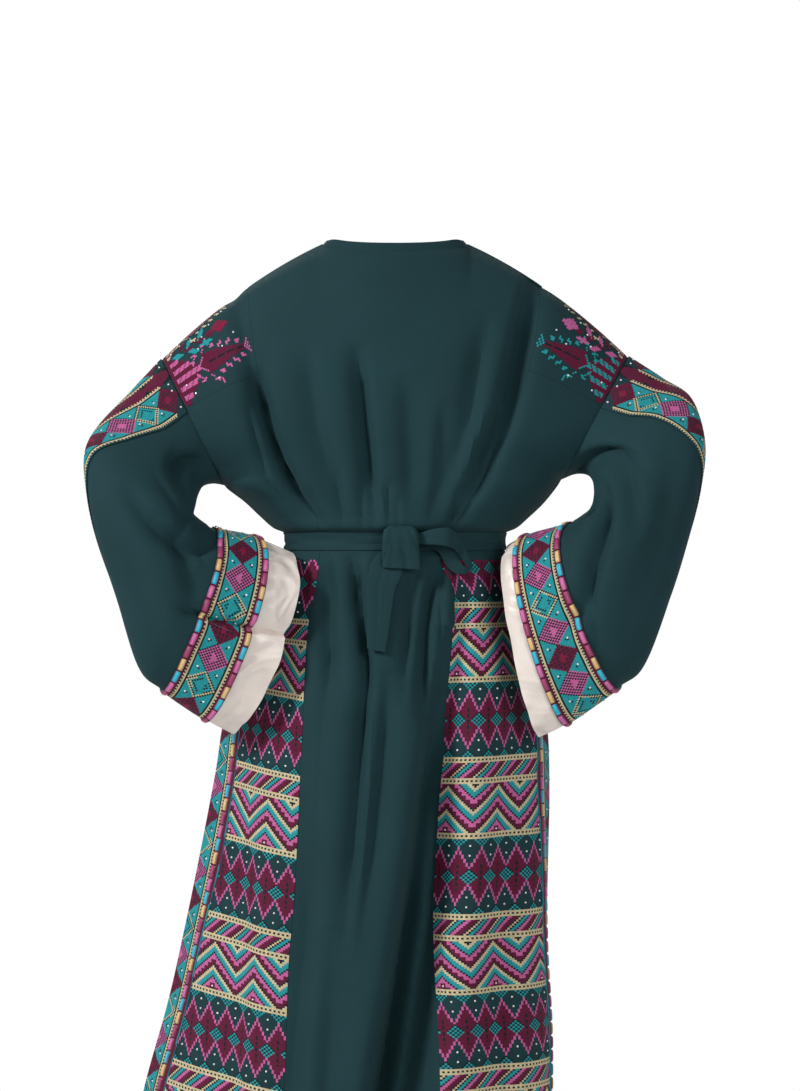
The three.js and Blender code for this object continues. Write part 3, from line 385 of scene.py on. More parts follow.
def body_row(index, face, side):
    if index <= ARMHOLE_ROWS:
        turn = 180 * index / ARMHOLE_ROWS
        c, s = math.cos(math.radians(turn)), math.sin(math.radians(turn))
        edge = sleeve_point(side, 0, turn if face > 0 else -turn)
        neck = BACK_NECK if face > 0 else FRONT_NECK
        low = UNDERARM["back"] if face > 0 else UNDERARM["front"]
        share = (1 - c) / 2
        seam = UNDERARM["seamL"] if side > 0 else -UNDERARM["seamR"]
        bulge = (13 if face > 0 else -4) * s * s
        y = lerp(neck[0], low, math.sin(math.radians(turn / 2))) + bulge
        return {
            "centre": np.array([0, y, lerp(neck[1], UNDERARM["z"], share)]),
            "edge": edge,
            "turn": lerp(58, 88, share**4),
            "seam": side * lerp(YOKE_SEAM, seam, share**1.5),
            "rise": 0,
        }
    section = SECTIONS[index - ARMHOLE_ROWS - 1]
    z, sway, half, back, front, seam_l, seam_r, turn_l, turn_r, turn_fr, rise_l, rise_r = section
    turn = turn_l if side > 0 else turn_r if face > 0 else turn_fr
    widest = turn_l if side > 0 else max(turn_r, turn_fr)
    reach = math.sin(math.radians(max(90, widest)))
    return {
        "centre": np.array([sway, back if face > 0 else front, z]),
        "edge": np.array([sway + side * half * reach, 0, z]),
        "turn": turn,
        "seam": seam_l if side > 0 else seam_r,
        "rise": rise_l if side > 0 else rise_r,
    }


def row_point(row, t):
    end = math.radians(row["turn"])
    a = np.asarray(t, float) * end
    across, forward = np.sin(a) / math.sin(end), (np.cos(a) - math.cos(end)) / (1 - math.cos(end))
    c, e = row["centre"], row["edge"]
    x = lerp(c[0], e[0], across)
    past = np.maximum(0, np.abs(x - c[0]) - abs(row["seam"] - c[0]))
    z = lerp(c[2], e[2], across * across) + row["rise"] * past
    return np.stack([x, lerp(e[1], c[1], forward), z], -1)


def column_share(row, column):
    column = np.asarray(column, float)
    end = math.radians(row["turn"])
    across = (row["seam"] - row["centre"][0]) / (row["edge"][0] - row["centre"][0])
    seam = math.asin(min(0.98, across * math.sin(end))) / end
    pts = row_point(row, np.arange(60, 0, -1) / 60)
    length = np.cumsum(np.linalg.norm(np.diff(pts, axis=0), axis=1))
    strip = 0.5 if length[-1] < STRIP_WIDTH / 2 else (59 - int(np.argmax(length >= STRIP_WIDTH / 2))) / 60
    strip = max(strip, seam + 0.12)
    panel = lerp(seam, strip, (column - SEAM_COLUMN) / (STRIP_COLUMN - SEAM_COLUMN))
    border = lerp(strip, 1, (column - STRIP_COLUMN) / (SIDE_COLUMN - STRIP_COLUMN))
    beyond = np.where(column <= STRIP_COLUMN, panel, border)
    return np.where(column <= SEAM_COLUMN, seam * column / SEAM_COLUMN, beyond)


def top_point(face, side, column):
    neck = BACK_NECK if face > 0 else FRONT_NECK
    column = np.asarray(column, float)
    a = np.radians(90 * np.minimum(column, NECK_COLUMNS) / NECK_COLUMNS)
    drop = np.clip(np.cos(a), 0, 1) ** (1 if face > 0 else 1.3)
    ring = np.stack([side * NECK_HALF_WIDTH * np.sin(a), neck[0] * np.cos(a), neck[1] * drop], -1)
    end = sleeve_point(side, 0, 0.0)
    seam = (YOKE_SEAM - NECK_HALF_WIDTH) / (abs(end[0]) - NECK_HALF_WIDTH)
    share = np.where(column <= SEAM_COLUMN, seam * (column - NECK_COLUMNS) / (SEAM_COLUMN - NECK_COLUMNS),
                     lerp(seam, 1, (column - SEAM_COLUMN) / (SIDE_COLUMN - SEAM_COLUMN)))
    line = np.stack([side * lerp(NECK_HALF_WIDTH, abs(end[0]), share), 0 * share,
                     end[2] * share + SHOULDER_ARCH * share * (1 - share)], -1)
    return np.where((column <= NECK_COLUMNS)[..., None], ring, line)


def body_rows(face, side, columns):
    """The body's table rows at the given columns, before folds."""
    grid = np.zeros((BODY_ROWS, len(columns), 3))
    grid[0] = top_point(face, side, columns)
    first = body_row(0, face, side)
    start = row_point(first, column_share(first, columns))
    rows = [body_row(i, face, side) for i in range(BODY_ROWS)]
    for i in range(1, BODY_ROWS):
        p = row_point(rows[i], column_share(rows[i], columns))
        if i < TOP_BLEND_ROWS:
            weight = (1 - i / TOP_BLEND_ROWS) ** 2 * np.clip(SIDE_COLUMN - columns, 0, 1)
            p = p + (grid[0] - start) * weight[:, None]
        grid[i] = p
    high, low = grid[6], grid[11]
    for i in range(7, 11):
        straight = lerp(high[:, 1], low[:, 1], (high[:, 2] - grid[i, :, 2]) / (high[:, 2] - low[:, 2]))
        grid[i, :, 1] = lerp(grid[i, :, 1], straight, np.minimum(1, (SIDE_COLUMN - columns) / 3))
    return grid


def body_fold_depth(face, x, z, folds, sharp):
    depth = np.zeros_like(x)
    for f, top_x, top_z, mid_x, mid_z, low_x, low_z, width, deep in folds:
        if f != face:
            continue
        share = np.clip((top_z - z) / (top_z - low_z), 0, 1)
        line = np.interp(-z, [-top_z, -mid_z, -low_z], [top_x, mid_x, low_x])
        # the line bends softly at its middle
        soft = np.interp(-z, [-top_z, -low_z], [top_x, low_x])
        line = lerp(line, soft, 0.15 * np.sin(np.pi * share))
        ends = np.clip(4 * share + 0.1, 0, 1) * np.clip(3 * (1 - share) + (1 if low_z < -1400 else 0), 0, 1)
        inside = (z <= top_z) & (z >= low_z)
        steep = np.where((x - line) * width > 0, 1.35, 0.7) * abs(width)
        grow = 1 + (0.35 * share if low_z < -1400 else 0)
        depth += np.where(inside, deep * grow * ends * np.exp(-(np.abs((x - line) / steep) ** sharp)), 0)
    return depth


def grid_normals(p, wraps=False):
    """Normals of a grid of points, and no sense of which side is out."""
    if wraps:
        across = np.roll(p, -1, 1) - np.roll(p, 1, 1)
    else:
        across = np.gradient(p, axis=1)
    down = np.gradient(p, axis=0)
    return unit(np.cross(across, down))


# Columns, finer where the cloth is wider
SUB_CENTRE, SUB_SIDE, SUB_STRIP = 4, 8, 5
HALF_COLUMNS = np.concatenate([
    np.linspace(0, SEAM_COLUMN, SEAM_COLUMN * SUB_CENTRE + 1),
    np.linspace(SEAM_COLUMN, STRIP_COLUMN, 3 * SUB_SIDE + 1)[1:],
    np.linspace(STRIP_COLUMN, SIDE_COLUMN, 2 * SUB_STRIP + 1)[1:],
])
HALF = len(HALF_COLUMNS) - 1
COL_SEAM, COL_STRIP = SEAM_COLUMN * SUB_CENTRE, SEAM_COLUMN * SUB_CENTRE + 3 * SUB_SIDE


def both_sides(face):
    right, left = (body_rows(face, side, HALF_COLUMNS) for side in (-1, 1))
    return np.concatenate([right[:, ::-1], left[:, 1:]], axis=1)


rough = {face: both_sides(face) for face in (1, -1)}
steps = np.mean([np.linalg.norm(np.diff(rough[f], axis=0), axis=-1).mean(axis=1) for f in (1, -1)], axis=0)
ROW_U = np.concatenate([[0], np.cumsum(steps)])
ROW_STEPS = [max(2, round(s / 5.0)) for s in steps]
for k in (11, 12, 13, 14):
    ROW_STEPS[k] = max(ROW_STEPS[k], 6)
ROW_AT = np.concatenate([[0], np.cumsum(ROW_STEPS)])  # fine row of each table row
FINE_U = np.concatenate([
    np.linspace(ROW_U[i], ROW_U[i + 1], ROW_STEPS[i] + 1)[(1 if i else 0):] for i in range(len(steps))])


def body_surface(face):
    p = spline(ROW_U, rough[face], FINE_U)
    n = grid_normals(p)
    if (n[..., 1] * face).mean() < 0:
        n = -n
    out = n.copy()
    out[..., 2] = 0
    out = unit(out)
    belt = (SECTIONS[BELT_TOP_SECTION][0] + SECTIONS[BELT_LOW_SECTION][0]) / 2
    calm = np.clip((np.abs(p[..., 2] - belt) - 11) / BELT_CALM, 0, 1)
    calm *= np.minimum(1, np.concatenate([np.arange(HALF), np.arange(HALF, -1, -1)])[None, :] / SUB_STRIP)
    depth = body_fold_depth(face, p[..., 0], p[..., 2], FOLDS, 2.0)
    depth += body_fold_depth(face, p[..., 0], p[..., 2], FINE_FOLDS, 1.5)
    return p - out * (calm * depth)[..., None]


BODY = {face: body_surface(face) for face in (1, -1)}

# Normals: the faces share their side columns below the arms and the shoulder line beyond the neck
NORMAL = {}
for face in (1, -1):
    n = grid_normals(BODY[face])
    NORMAL[face] = n if (n[..., 1] * face).mean() > 0 else -n
low_row = ROW_AT[ARMHOLE_ROWS]
for col in (0, 2 * HALF):
    n = unit(NORMAL[1][low_row:, col] + NORMAL[-1][low_row:, col])
    NORMAL[1][low_row:, col] = NORMAL[-1][low_row:, col] = n
neck_half = NECK_COLUMNS * SUB_CENTRE
for cols in (slice(0, HALF - neck_half + 1), slice(HALF + neck_half, 2 * HALF + 1)):
    n = unit(NORMAL[1][0, cols] + NORMAL[-1][0, cols] + np.array([0, 0, 0.6]))
    NORMAL[1][0, cols] = NORMAL[-1][0, cols] = n

# Sleeves and the satin beyond them
RING_SUB, AROUND = 8, 108
SLEEVE_RINGS = np.linspace(0, SATIN_RING, SATIN_RING * RING_SUB + 1)
TURNS = np.arange(AROUND) * 360 / AROUND
SLEEVE, SLEEVE_N, MOUTH, MOUTH_N = {}, {}, {}, {}
for side in (1, -1):
    whole = sleeve_grid(side, np.linspace(0, MOUTH_RING, MOUTH_RING * RING_SUB + 1), TURNS)
    n = grid_normals(whole, wraps=True)
    middle = whole.mean(axis=1, keepdims=True)
    if (n * (whole - middle)).sum(-1).mean() < 0:
        n = -n
    cut = SATIN_RING * RING_SUB
    SLEEVE[side], SLEEVE_N[side] = whole[: cut + 1], n[: cut + 1]
    MOUTH[side], MOUTH_N[side] = whole[cut:], n[cut:]

# At the armhole the sleeve and the body share their normals
for side in (1, -1):
    col = 2 * HALF if side > 0 else 0
    for face in (1, -1):
        pts, nrm = BODY[face][: low_row + 1, col], NORMAL[face][: low_row + 1, col]
        ring = SLEEVE[side][0]
        near = np.argmin(np.linalg.norm(pts[:, None] - ring[None], axis=-1), axis=1)
        NORMAL[face][: low_row + 1, col] = unit(nrm + SLEEVE_N[side][0][near])
    both = np.concatenate([BODY[1][: low_row + 1, col], BODY[-1][: low_row + 1, col]])
    both_n = np.concatenate([NORMAL[1][: low_row + 1, col], NORMAL[-1][: low_row + 1, col]])
    near = np.argmin(np.linalg.norm(SLEEVE[side][0][:, None] - both[None], axis=-1), axis=1)
    SLEEVE_N[side][0] = both_n[near]


# Meshes
def new_object(name, verts, faces, nodes=(), smooth=True, sharp=None):
    """An object from points in millimetres and faces of four corners."""
    verts = np.asarray(verts, np.float32).reshape(-1, 3) / 1000
    faces = np.asarray(faces, np.int32)
    mesh = bpy.data.meshes.new(name)
    mesh.vertices.add(len(verts))
    mesh.vertices.foreach_set("co", verts.ravel())
    mesh.loops.add(faces.size)
    mesh.loops.foreach_set("vertex_index", faces.ravel())
    mesh.polygons.add(len(faces))
    mesh.polygons.foreach_set("loop_start", np.arange(len(faces), dtype=np.int32) * faces.shape[1])
    mesh.polygons.foreach_set("use_smooth", np.full(len(faces), smooth))
    mesh.update(calc_edges=True)
    if sharp:
        mesh.set_sharp_from_angle(angle=math.radians(sharp))
    piece = bpy.data.objects.new(name, mesh)
    bpy.context.scene.collection.objects.link(piece)
    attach(piece, "root")
    if nodes:
        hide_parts(*nodes)
    return piece


def grid_faces(rows, cols, wraps=False):
    i, k = np.meshgrid(np.arange(rows - 1), np.arange(cols if wraps else cols - 1), indexing="ij")
    n = (k + 1) % cols
    return np.stack([i * cols + k, i * cols + n, (i + 1) * cols + n, (i + 1) * cols + k], -1).reshape(-1, 4)


def shell(name, p, n, low, high, nodes, material, wraps=False, trim=GAP / 2):
    """A closed wall of cloth over a grid, from the low to the high offset along the normals."""
    p = p.copy()
    rows, cols = p.shape[:2]

    def pull(a, b):
        return a + unit(b - a) * trim

    p[0], p[-1] = pull(p[0], p[1]), pull(p[-1], p[-2])
    if not wraps:
        p[:, 0], p[:, -1] = pull(p[:, 0], p[:, 1]), pull(p[:, -1], p[:, -2])
    high = np.broadcast_to(np.asarray(high, float), p.shape[:2])
    low = np.broadcast_to(np.asarray(low, float), p.shape[:2])
    outer, inner = p + n * high[..., None], p + n * low[..., None]
    verts = np.concatenate([outer.reshape(-1, 3), inner.reshape(-1, 3)])
    faces = grid_faces(rows, cols, wraps)
    a, b, c = (verts[faces[:, k]] for k in range(3))
    flip = (np.cross(b - a, c - a) * n.reshape(-1, 3)[faces[:, 0]]).sum() < 0
    shift = rows * cols
    at = np.arange(shift).reshape(rows, cols)

    def rim(line, wraps=False):
        """The wall's edge along one line of its points."""
        after = np.roll(line, -1) if wraps else line[1:]
        line = line if wraps else line[:-1]
        return np.stack([after, line, line + shift, after + shift], -1)

    other_way = [1, 0, 3, 2]
    rims = [rim(at[0], wraps), rim(at[-1], wraps)[:, other_way]]
    if not wraps:
        rims += [rim(at[:, 0])[:, other_way], rim(at[:, -1])]
    all_faces = np.concatenate([faces, faces[:, ::-1] + shift] + rims)
    if flip:
        all_faces = all_faces[:, ::-1]
    piece = new_object(name, verts, all_faces, nodes, sharp=40)
    piece.data.materials.append(material)
    return piece


def seam_dip(p, depth=0.3, reach=2.4, sides="lrtb"):
    """How much lower cloth lies beside the seams at its edges."""
    dip = np.zeros(p.shape[:2])
    across, down = run_of(p, 1), run_of(p)
    for side, d in (("l", across), ("r", across[:, -1:] - across), ("t", down), ("b", down[-1:] - down)):
        if side in sides:
            dip = np.maximum(dip, depth * np.exp(-((d / reach) ** 2)))
    return dip


def area_of(q):
    a, b, c, d = q[:-1, :-1], q[:-1, 1:], q[1:, 1:], q[1:, :-1]
    return float((np.linalg.norm(np.cross(c - a, d - b), axis=-1) / 2).sum()) / 1e6


def declare(piece, surface, wraps=False):
    """States the cut of a sheet from its surface, with the folds let out, in metres."""
    q = closed(surface) if wraps else surface
    width = float(np.linalg.norm(np.diff(q, axis=1), axis=-1).sum(axis=1).max()) / 1000
    length = float(np.linalg.norm(np.diff(q, axis=0), axis=-1).sum(axis=0).max()) / 1000
    area = area_of(q)
    area = min(max(area, 0.31 * width * length), width * length)
    CUTS.append((piece.name, round(width, 3), round(length, 3), round(area, 4)))


CUTS = []


# Materials
def nodes_of(name, rough, **sockets):
    mat = bpy.data.materials.new(name)
    mat.use_nodes = True
    tree = mat.node_tree
    shader = tree.nodes["Principled BSDF"]
    shader.inputs["Roughness"].default_value = rough
    for key, value in sockets.items():
        shader.inputs[key.replace("_", " ")].default_value = value
    return mat, tree, shader


def node(tree, kind, **values):
    made = tree.nodes.new(kind)
    for key, value in values.items():
        if hasattr(made, key):
            setattr(made, key, value)
        else:
            made.inputs[key.replace("_", " ")].default_value = value
    return made


def math_node(tree, op, a, b=None, clamp=False):
    made = tree.nodes.new("ShaderNodeMath")
    made.operation = op
    made.use_clamp = clamp
    for k, v in enumerate((a, b)):
        if v is None:
            continue
        if isinstance(v, (int, float)):
            made.inputs[k].default_value = v
        else:
            tree.links.new(v, made.inputs[k])
    return made.outputs[0]


def tinted(tree, shader, colour, factor, dark=0.82, light=1.16):
    """Base colour that runs from darker to lighter as factor goes from 0 to 1."""
    ramp = node(tree, "ShaderNodeValToRGB")
    ramp.color_ramp.elements[0].position, ramp.color_ramp.elements[1].position = 0.3, 0.7
    ramp.color_ramp.elements[0].color = (*[c * dark for c in colour], 1)
    ramp.color_ramp.elements[1].color = (*[min(1, c * light) for c in colour], 1)
    tree.links.new(factor, ramp.inputs[0])
    tree.links.new(ramp.outputs[0], shader.inputs["Base Color"])


def bumped(tree, shader, height, strength, distance):
    bump = node(tree, "ShaderNodeBump", Strength=strength, Distance=distance)
    tree.links.new(height, bump.inputs["Height"])
    tree.links.new(bump.outputs[0], shader.inputs["Normal"])


def shaded(tree, shader, relief, gain, least):
    """Base colour of each stitch, with painted shade where its relief is low."""
    colour = node(tree, "ShaderNodeVertexColor", layer_name="thread")
    shade = math_node(tree, "ADD", math_node(tree, "MULTIPLY", relief, gain), least)
    mix = node(tree, "ShaderNodeVectorMath", operation="SCALE")
    tree.links.new(colour.outputs[0], mix.inputs[0])
    tree.links.new(shade, mix.inputs["Scale"])
    tree.links.new(mix.outputs[0], shader.inputs["Base Color"])


def crepe(name, colour):
    mat, tree, shader = nodes_of(name, 0.78, Sheen_Weight=0.05, Sheen_Roughness=0.5, Specular_IOR_Level=0.16)
    shader.inputs["Sheen Tint"].default_value = (0.55, 0.8, 0.82, 1)
    place = node(tree, "ShaderNodeTexCoord").outputs["Object"]
    broad = node(tree, "ShaderNodeTexNoise", Scale=7.0, Detail=3.0, Roughness=0.55)
    grain = node(tree, "ShaderNodeTexNoise", Scale=900.0, Detail=2.0, Roughness=0.6)
    weave = node(tree, "ShaderNodeTexVoronoi", Scale=1250.0)
    for t in (broad, grain, weave):
        tree.links.new(place, t.inputs["Vector"])
    mixed = math_node(tree, "MULTIPLY", grain.outputs[0], 0.45)
    total = math_node(tree, "ADD", mixed, math_node(tree, "MULTIPLY", broad.outputs[0], 0.55))
    tinted(tree, shader, colour, total)
    height = math_node(tree, "ADD", weave.outputs["Distance"], grain.outputs[0])
    bumped(tree, shader, height, 0.35, 0.0006)
    return mat


def satin(name, colour):
    mat, tree, shader = nodes_of(name, 0.34, Sheen_Weight=0.1, Sheen_Roughness=0.3, Specular_IOR_Level=0.6)
    place = node(tree, "ShaderNodeTexCoord").outputs["Object"]
    broad = node(tree, "ShaderNodeTexNoise", Scale=16.0, Detail=2.0, Distortion=0.8)
    thread = node(tree, "ShaderNodeTexWave", Scale=420.0, Distortion=2.0, Detail=2.0)
    for t in (broad, thread):
        tree.links.new(place, t.inputs["Vector"])
    # painted shade of the soft folds: the broad noise that bumps them also darkens their low parts
    tinted(tree, shader, colour, broad.outputs[0], 0.92, 1.06)
    soft = node(tree, "ShaderNodeBump", Strength=0.8, Distance=0.018)
    tree.links.new(broad.outputs[0], soft.inputs["Height"])
    fine = node(tree, "ShaderNodeBump", Strength=0.12, Distance=0.0005)
    tree.links.new(thread.outputs["Fac"], fine.inputs["Height"])
    tree.links.new(soft.outputs[0], fine.inputs["Normal"])
    tree.links.new(fine.outputs[0], shader.inputs["Normal"])
    return mat


def stitched(name):
    """Thread in the colour of each stitch, with two crossing threads raised over every cell."""
    mat, tree, shader = nodes_of(name, 0.6, Sheen_Weight=0.04, Sheen_Roughness=0.4, Specular_IOR_Level=0.22)
    uv = node(tree, "ShaderNodeUVMap", uv_map="stitch")
    split = node(tree, "ShaderNodeSeparateXYZ")
    tree.links.new(uv.outputs[0], split.inputs[0])
    u, v = split.outputs[0], split.outputs[1]
    one = math_node(tree, "ABSOLUTE", math_node(tree, "SUBTRACT", u, v))
    two = math_node(tree, "ABSOLUTE", math_node(tree, "SUBTRACT", math_node(tree, "ADD", u, v), 1.0))
    ridges = [math_node(tree, "SUBTRACT", 1.0, math_node(tree, "MULTIPLY", way, 2.2)) for way in (one, two)]
    cross = math_node(tree, "MAXIMUM", *ridges, clamp=True)
    # painted shade: each cell is darker away from its two crossing threads, in their hollows
    shaded(tree, shader, cross, 0.42, 0.66)
    bumped(tree, shader, cross, 0.6, 0.0008)
    return mat


def threads(name):
    """Satin thread laid side by side, in the colour of each bead."""
    mat, tree, shader = nodes_of(name, 0.32, Sheen_Weight=0.3, Sheen_Roughness=0.3, Specular_IOR_Level=0.55)
    uv = node(tree, "ShaderNodeUVMap", uv_map="stitch")
    wave = node(tree, "ShaderNodeTexWave", Scale=4.0, Distortion=0.6, Detail=1.0)
    wave.bands_direction = "Y"
    tree.links.new(uv.outputs[0], wave.inputs["Vector"])
    # painted shade in the grooves between the threads laid side by side
    shaded(tree, shader, wave.outputs["Fac"], 0.35, 0.75)
    bumped(tree, shader, wave.outputs["Fac"], 0.4, 0.0006)
    return mat


def stone(name):
    mat, tree, shader = nodes_of(name, 0.16, Metallic=0.05, Specular_IOR_Level=0.9)
    place = node(tree, "ShaderNodeTexCoord").outputs["Object"]
    facet = node(tree, "ShaderNodeTexVoronoi", Scale=900.0)
    tree.links.new(place, facet.inputs["Vector"])
    tinted(tree, shader, (0.95, 0.97, 1), facet.outputs["Distance"], 0.8, 1.1)
    bumped(tree, shader, facet.outputs["Distance"], 0.5, 0.0005)
    return mat


def paper(name, colour):
    mat, tree, shader = nodes_of(name, 0.9)
    place = node(tree, "ShaderNodeTexCoord").outputs["Object"]
    broad = node(tree, "ShaderNodeTexNoise", Scale=3.0, Detail=2.0)
    tree.links.new(place, broad.inputs["Vector"])
    tinted(tree, shader, colour, broad.outputs[0], 0.98, 1.0)
    return mat


MAT_CREPE = crepe("crepe", CREPE)
MAT_GROUND = crepe("border_ground", srgb("2794a0"))
MAT_SATIN = satin("ivory_satin", srgb("f7ebe2"))
MAT_STITCH = stitched("cross_stitch")
MAT_THREAD = threads("satin_stitch")
MAT_STONE = stone("rhinestone")


# Stitches
def hashed(a, b, seed=0):
    h = (a * 73856093) ^ (b * 19349663) ^ (seed * 83492791 + 12345)
    return ((h * 2654435761) & 0xFFFFFFFF) / 0xFFFFFFFF


def laid(p, n, origin=0, pitch=STITCH, middle=0, spread=0, step=STITCH, gather=0):
    """Corners of stitches of one size over a grid: step wide from the origin column, and pitch high down it.

    They are narrower at the top by the share that is gathered."""
    rows, cols = p.shape[:2]
    down, across = run_of(p[:, origin]), run_of(p, 1)
    across -= across[:, origin : origin + 1]
    step = step * (1 - gather * np.clip((400 - down) / 230, 0, 1))
    s = np.arange(math.floor((across.min(1) / step).min()), math.ceil((across.max(1) / step).max()) + 1)
    both = np.concatenate([p, n], -1)
    wide = np.empty((rows, len(s), 6))
    fits = np.empty((rows, len(s)), bool)
    for i in range(rows):
        for k in range(6):
            wide[i, :, k] = np.interp(s * step[i], across[i], both[i, :, k])
        fits[i] = (s * step[i] >= across[i, 0] - 0.3) & (s * step[i] <= across[i, -1] + 0.3)
    v = np.arange(int(down[-1] / pitch) + 1)
    want = (v[:, None] + spread * (v[:, None] - middle) * np.abs(s)[None, :]) * pitch
    at = np.clip(np.searchsorted(down, want, side="right") - 1, 0, rows - 2)
    t = ((want - down[at]) / (down[at + 1] - down[at]))[..., None]
    col = np.arange(len(s))[None, :]
    grid = lerp(wide[at, col], wide[at + 1, col], t)
    good = fits[at, col] & fits[at + 1, col] & (want >= 0) & (want <= down[-1])
    cell = good[:-1, :-1] & good[1:, :-1] & good[:-1, 1:] & good[1:, 1:]
    return grid[..., :3], grid[..., 3:], cell, *np.meshgrid(v[:-1], s[:-1], indexing="ij")


def stitch_piece(name, grid, normals, codes, lift, seed):
    """One mesh of the stitches whose code isn't 0."""
    rows, cols = codes.shape
    i, k = np.nonzero(codes)
    width = grid.shape[1]
    nxt = (k + 1) % width
    corner = np.stack([i * width + k, i * width + nxt, (i + 1) * width + nxt, (i + 1) * width + k], -1)
    used, index = np.unique(corner, return_inverse=True)
    faces = index.reshape(-1, 4)
    pts = (grid + normals * lift).reshape(-1, 3)[used]
    nrm = normals.reshape(-1, 3)[used]
    a, b, c = (pts[faces[:, m]] for m in range(3))
    if (np.cross(b - a, c - a) * nrm[faces[:, 0]]).sum() < 0:
        faces = faces[:, ::-1]
    piece = new_object(name, pts, faces)
    table = np.array([(0, 0, 0)] + [PALETTE[x] for x in NAMES])
    shade = 0.9 + 0.2 * hashed(i, k, seed)
    rgb = table[codes[i, k]] * shade[:, None]
    paint(piece, np.repeat(rgb, 4, axis=0), np.tile([[0, 0], [1, 0], [1, 1], [0, 1]], (len(faces), 1)))
    piece.data.materials.append(MAT_STITCH)
    return piece


def paint(piece, rgb, uv):
    mesh = piece.data
    attr = mesh.color_attributes.new("thread", "FLOAT_COLOR", "CORNER")
    rgba = np.concatenate([rgb, np.ones((len(rgb), 1))], 1)
    attr.data.foreach_set("color", rgba.astype(np.float32).ravel())
    layer = mesh.uv_layers.new(name="stitch")
    layer.uv.foreach_set("vector", np.asarray(uv, np.float32).ravel())


def panel_chart(v, x, phase, shifts):
    """Codes of the skirt panels' bands, and where their stones go.

    v counts rows down and x stitches to the viewer's right.
    The shifts are of the lozenges, stripes and zigzags.
    """
    j = (v + phase) % 80
    code = np.zeros(j.shape, int)
    # lozenges between rows of small triangles
    p = x + shifts[0]
    d = np.abs(p % 10 - 5)
    checker = np.where((j + p) % 2 == 0, TURQ, DARK)
    top, low = 6 + 2 * d, 31 - 2 * d
    a = j < 38
    code[a & (j >= top) & (j <= low)] = MAROON
    code[a & (d == 0) & (j > 11) & (j < 26) & (j % 3 > 0)] = DARK
    code[a & (((j >= top - 2) & (j < top)) | ((j > low) & (j <= low + 2)))] = PINK
    spots = a & ((np.abs(j - 18.5) + 5 - d <= 3.5) | (np.minimum(j, 37 - j) + d <= 3))
    code[spots] = checker[spots]
    # narrow dotted lines
    for start in (38, 49, 77):
        k = j - start
        code[(k == 0) | (k == 2)] = CREAM
        code[k == 1] = np.where(x % 2 == 0, CREAM, DARK)[k == 1]
    # slanted stripes
    c = (j >= 41) & (j < 49)
    t = (x + shifts[1] + j - 41) % 11
    limits = [t < 1, t < 2, t < 4, t < 5, t < 7, t < 10]
    code[c] = np.select(limits, [CREAM, DARK, TURQ, DARK, PINK, MAROON], DARK)[c]
    # zigzags
    off = np.abs((x + shifts[2]) % 26 - 13)
    t = (j - 54 + off) % 12
    stair = (j - 54 + off // 2 * 2) % 12
    zig = np.select([t < 2, t < 5, t < 6, stair < 8, t < 11], [CREAM, TURQ, DARK, PINK, MAROON], DARK)
    zig[(j == 52) & (off == 0)] = DARK
    c = (j >= 52) & (j < 77)
    code[c] = zig[c]
    stones = (d == 5) & ((j == 3) | (j == 8) | (j == 29) | (j == 34)) | (off == 13) & (j == 75)
    return code, stones


def diamond_chart(v, s, half, start=0, period=17, order=(0, 1, 2)):
    """Turquoise band of diamonds. s counts from the middle and half is half its width, in stitches."""
    k = (v + start) % period - period // 2
    which = np.array(order)[((v + start) // period) % len(order)]
    r = (np.abs(s + 0.5) / half + np.abs(k) / (period / 2)) * 0.93
    code = np.full(np.broadcast(v, s).shape, TURQ)
    odd = (v + s) % 2 == 0
    grid = (v % 2 == 0) & (s % 2 == 0)
    code = np.where((which == 0) & (r > 0.73) & (r <= 1.0), np.where(odd, CREAM, DARK), code)
    code = np.where((which == 0) & (r > 0.4) & (r <= 0.56), np.where(odd, DARK, TURQ), code)
    maroon = np.where(r <= 0.28, RED, np.where(grid & (r < 0.85), DARK, MAROON))
    code = np.where((which == 1) & (r <= 1.0), maroon, code)
    code = np.where((which == 2) & (r <= 1.0), np.where(r <= 0.28, PINK, np.where(odd, PINK, DARK)), code)
    # a small sprig in each corner between two diamonds
    corner = np.abs(np.abs(k) - period / 2) + np.abs(np.abs(s + 0.5) - half * 0.62)
    return np.where((corner < 1.6) & (code == TURQ) & odd, DARK, code)


def border_chart(v, s, half_cells, start=0, period=17, order=(0, 2, 1)):
    """A border from edge to edge: ribbon, sawtooth, dark line, diamonds, and the same again."""
    edge = half_cells - 1 - np.where(s >= 0, s, -s - 1)  # 0 at the very edge
    code = diamond_chart(v, s, half_cells - 8.0, start, period, order)
    code = np.where(edge < 8, DARK, code)
    code = np.where((edge == 5) & (v % 2 == 0), CREAM, code)
    code = np.where(edge == 6, CREAM, code)
    return np.where(edge < 5, MAROON, code)


def spot(q, t, cq, ct, angle, long, short):
    """Where a leaf lies: long along the angle from the way inward."""
    c, n = math.cos(math.radians(angle)), math.sin(math.radians(angle))
    a, b = (t - ct) * c + (q - cq) * n, (q - cq) * c - (t - ct) * n
    return np.abs(a) / long + np.abs(b) / short <= 1


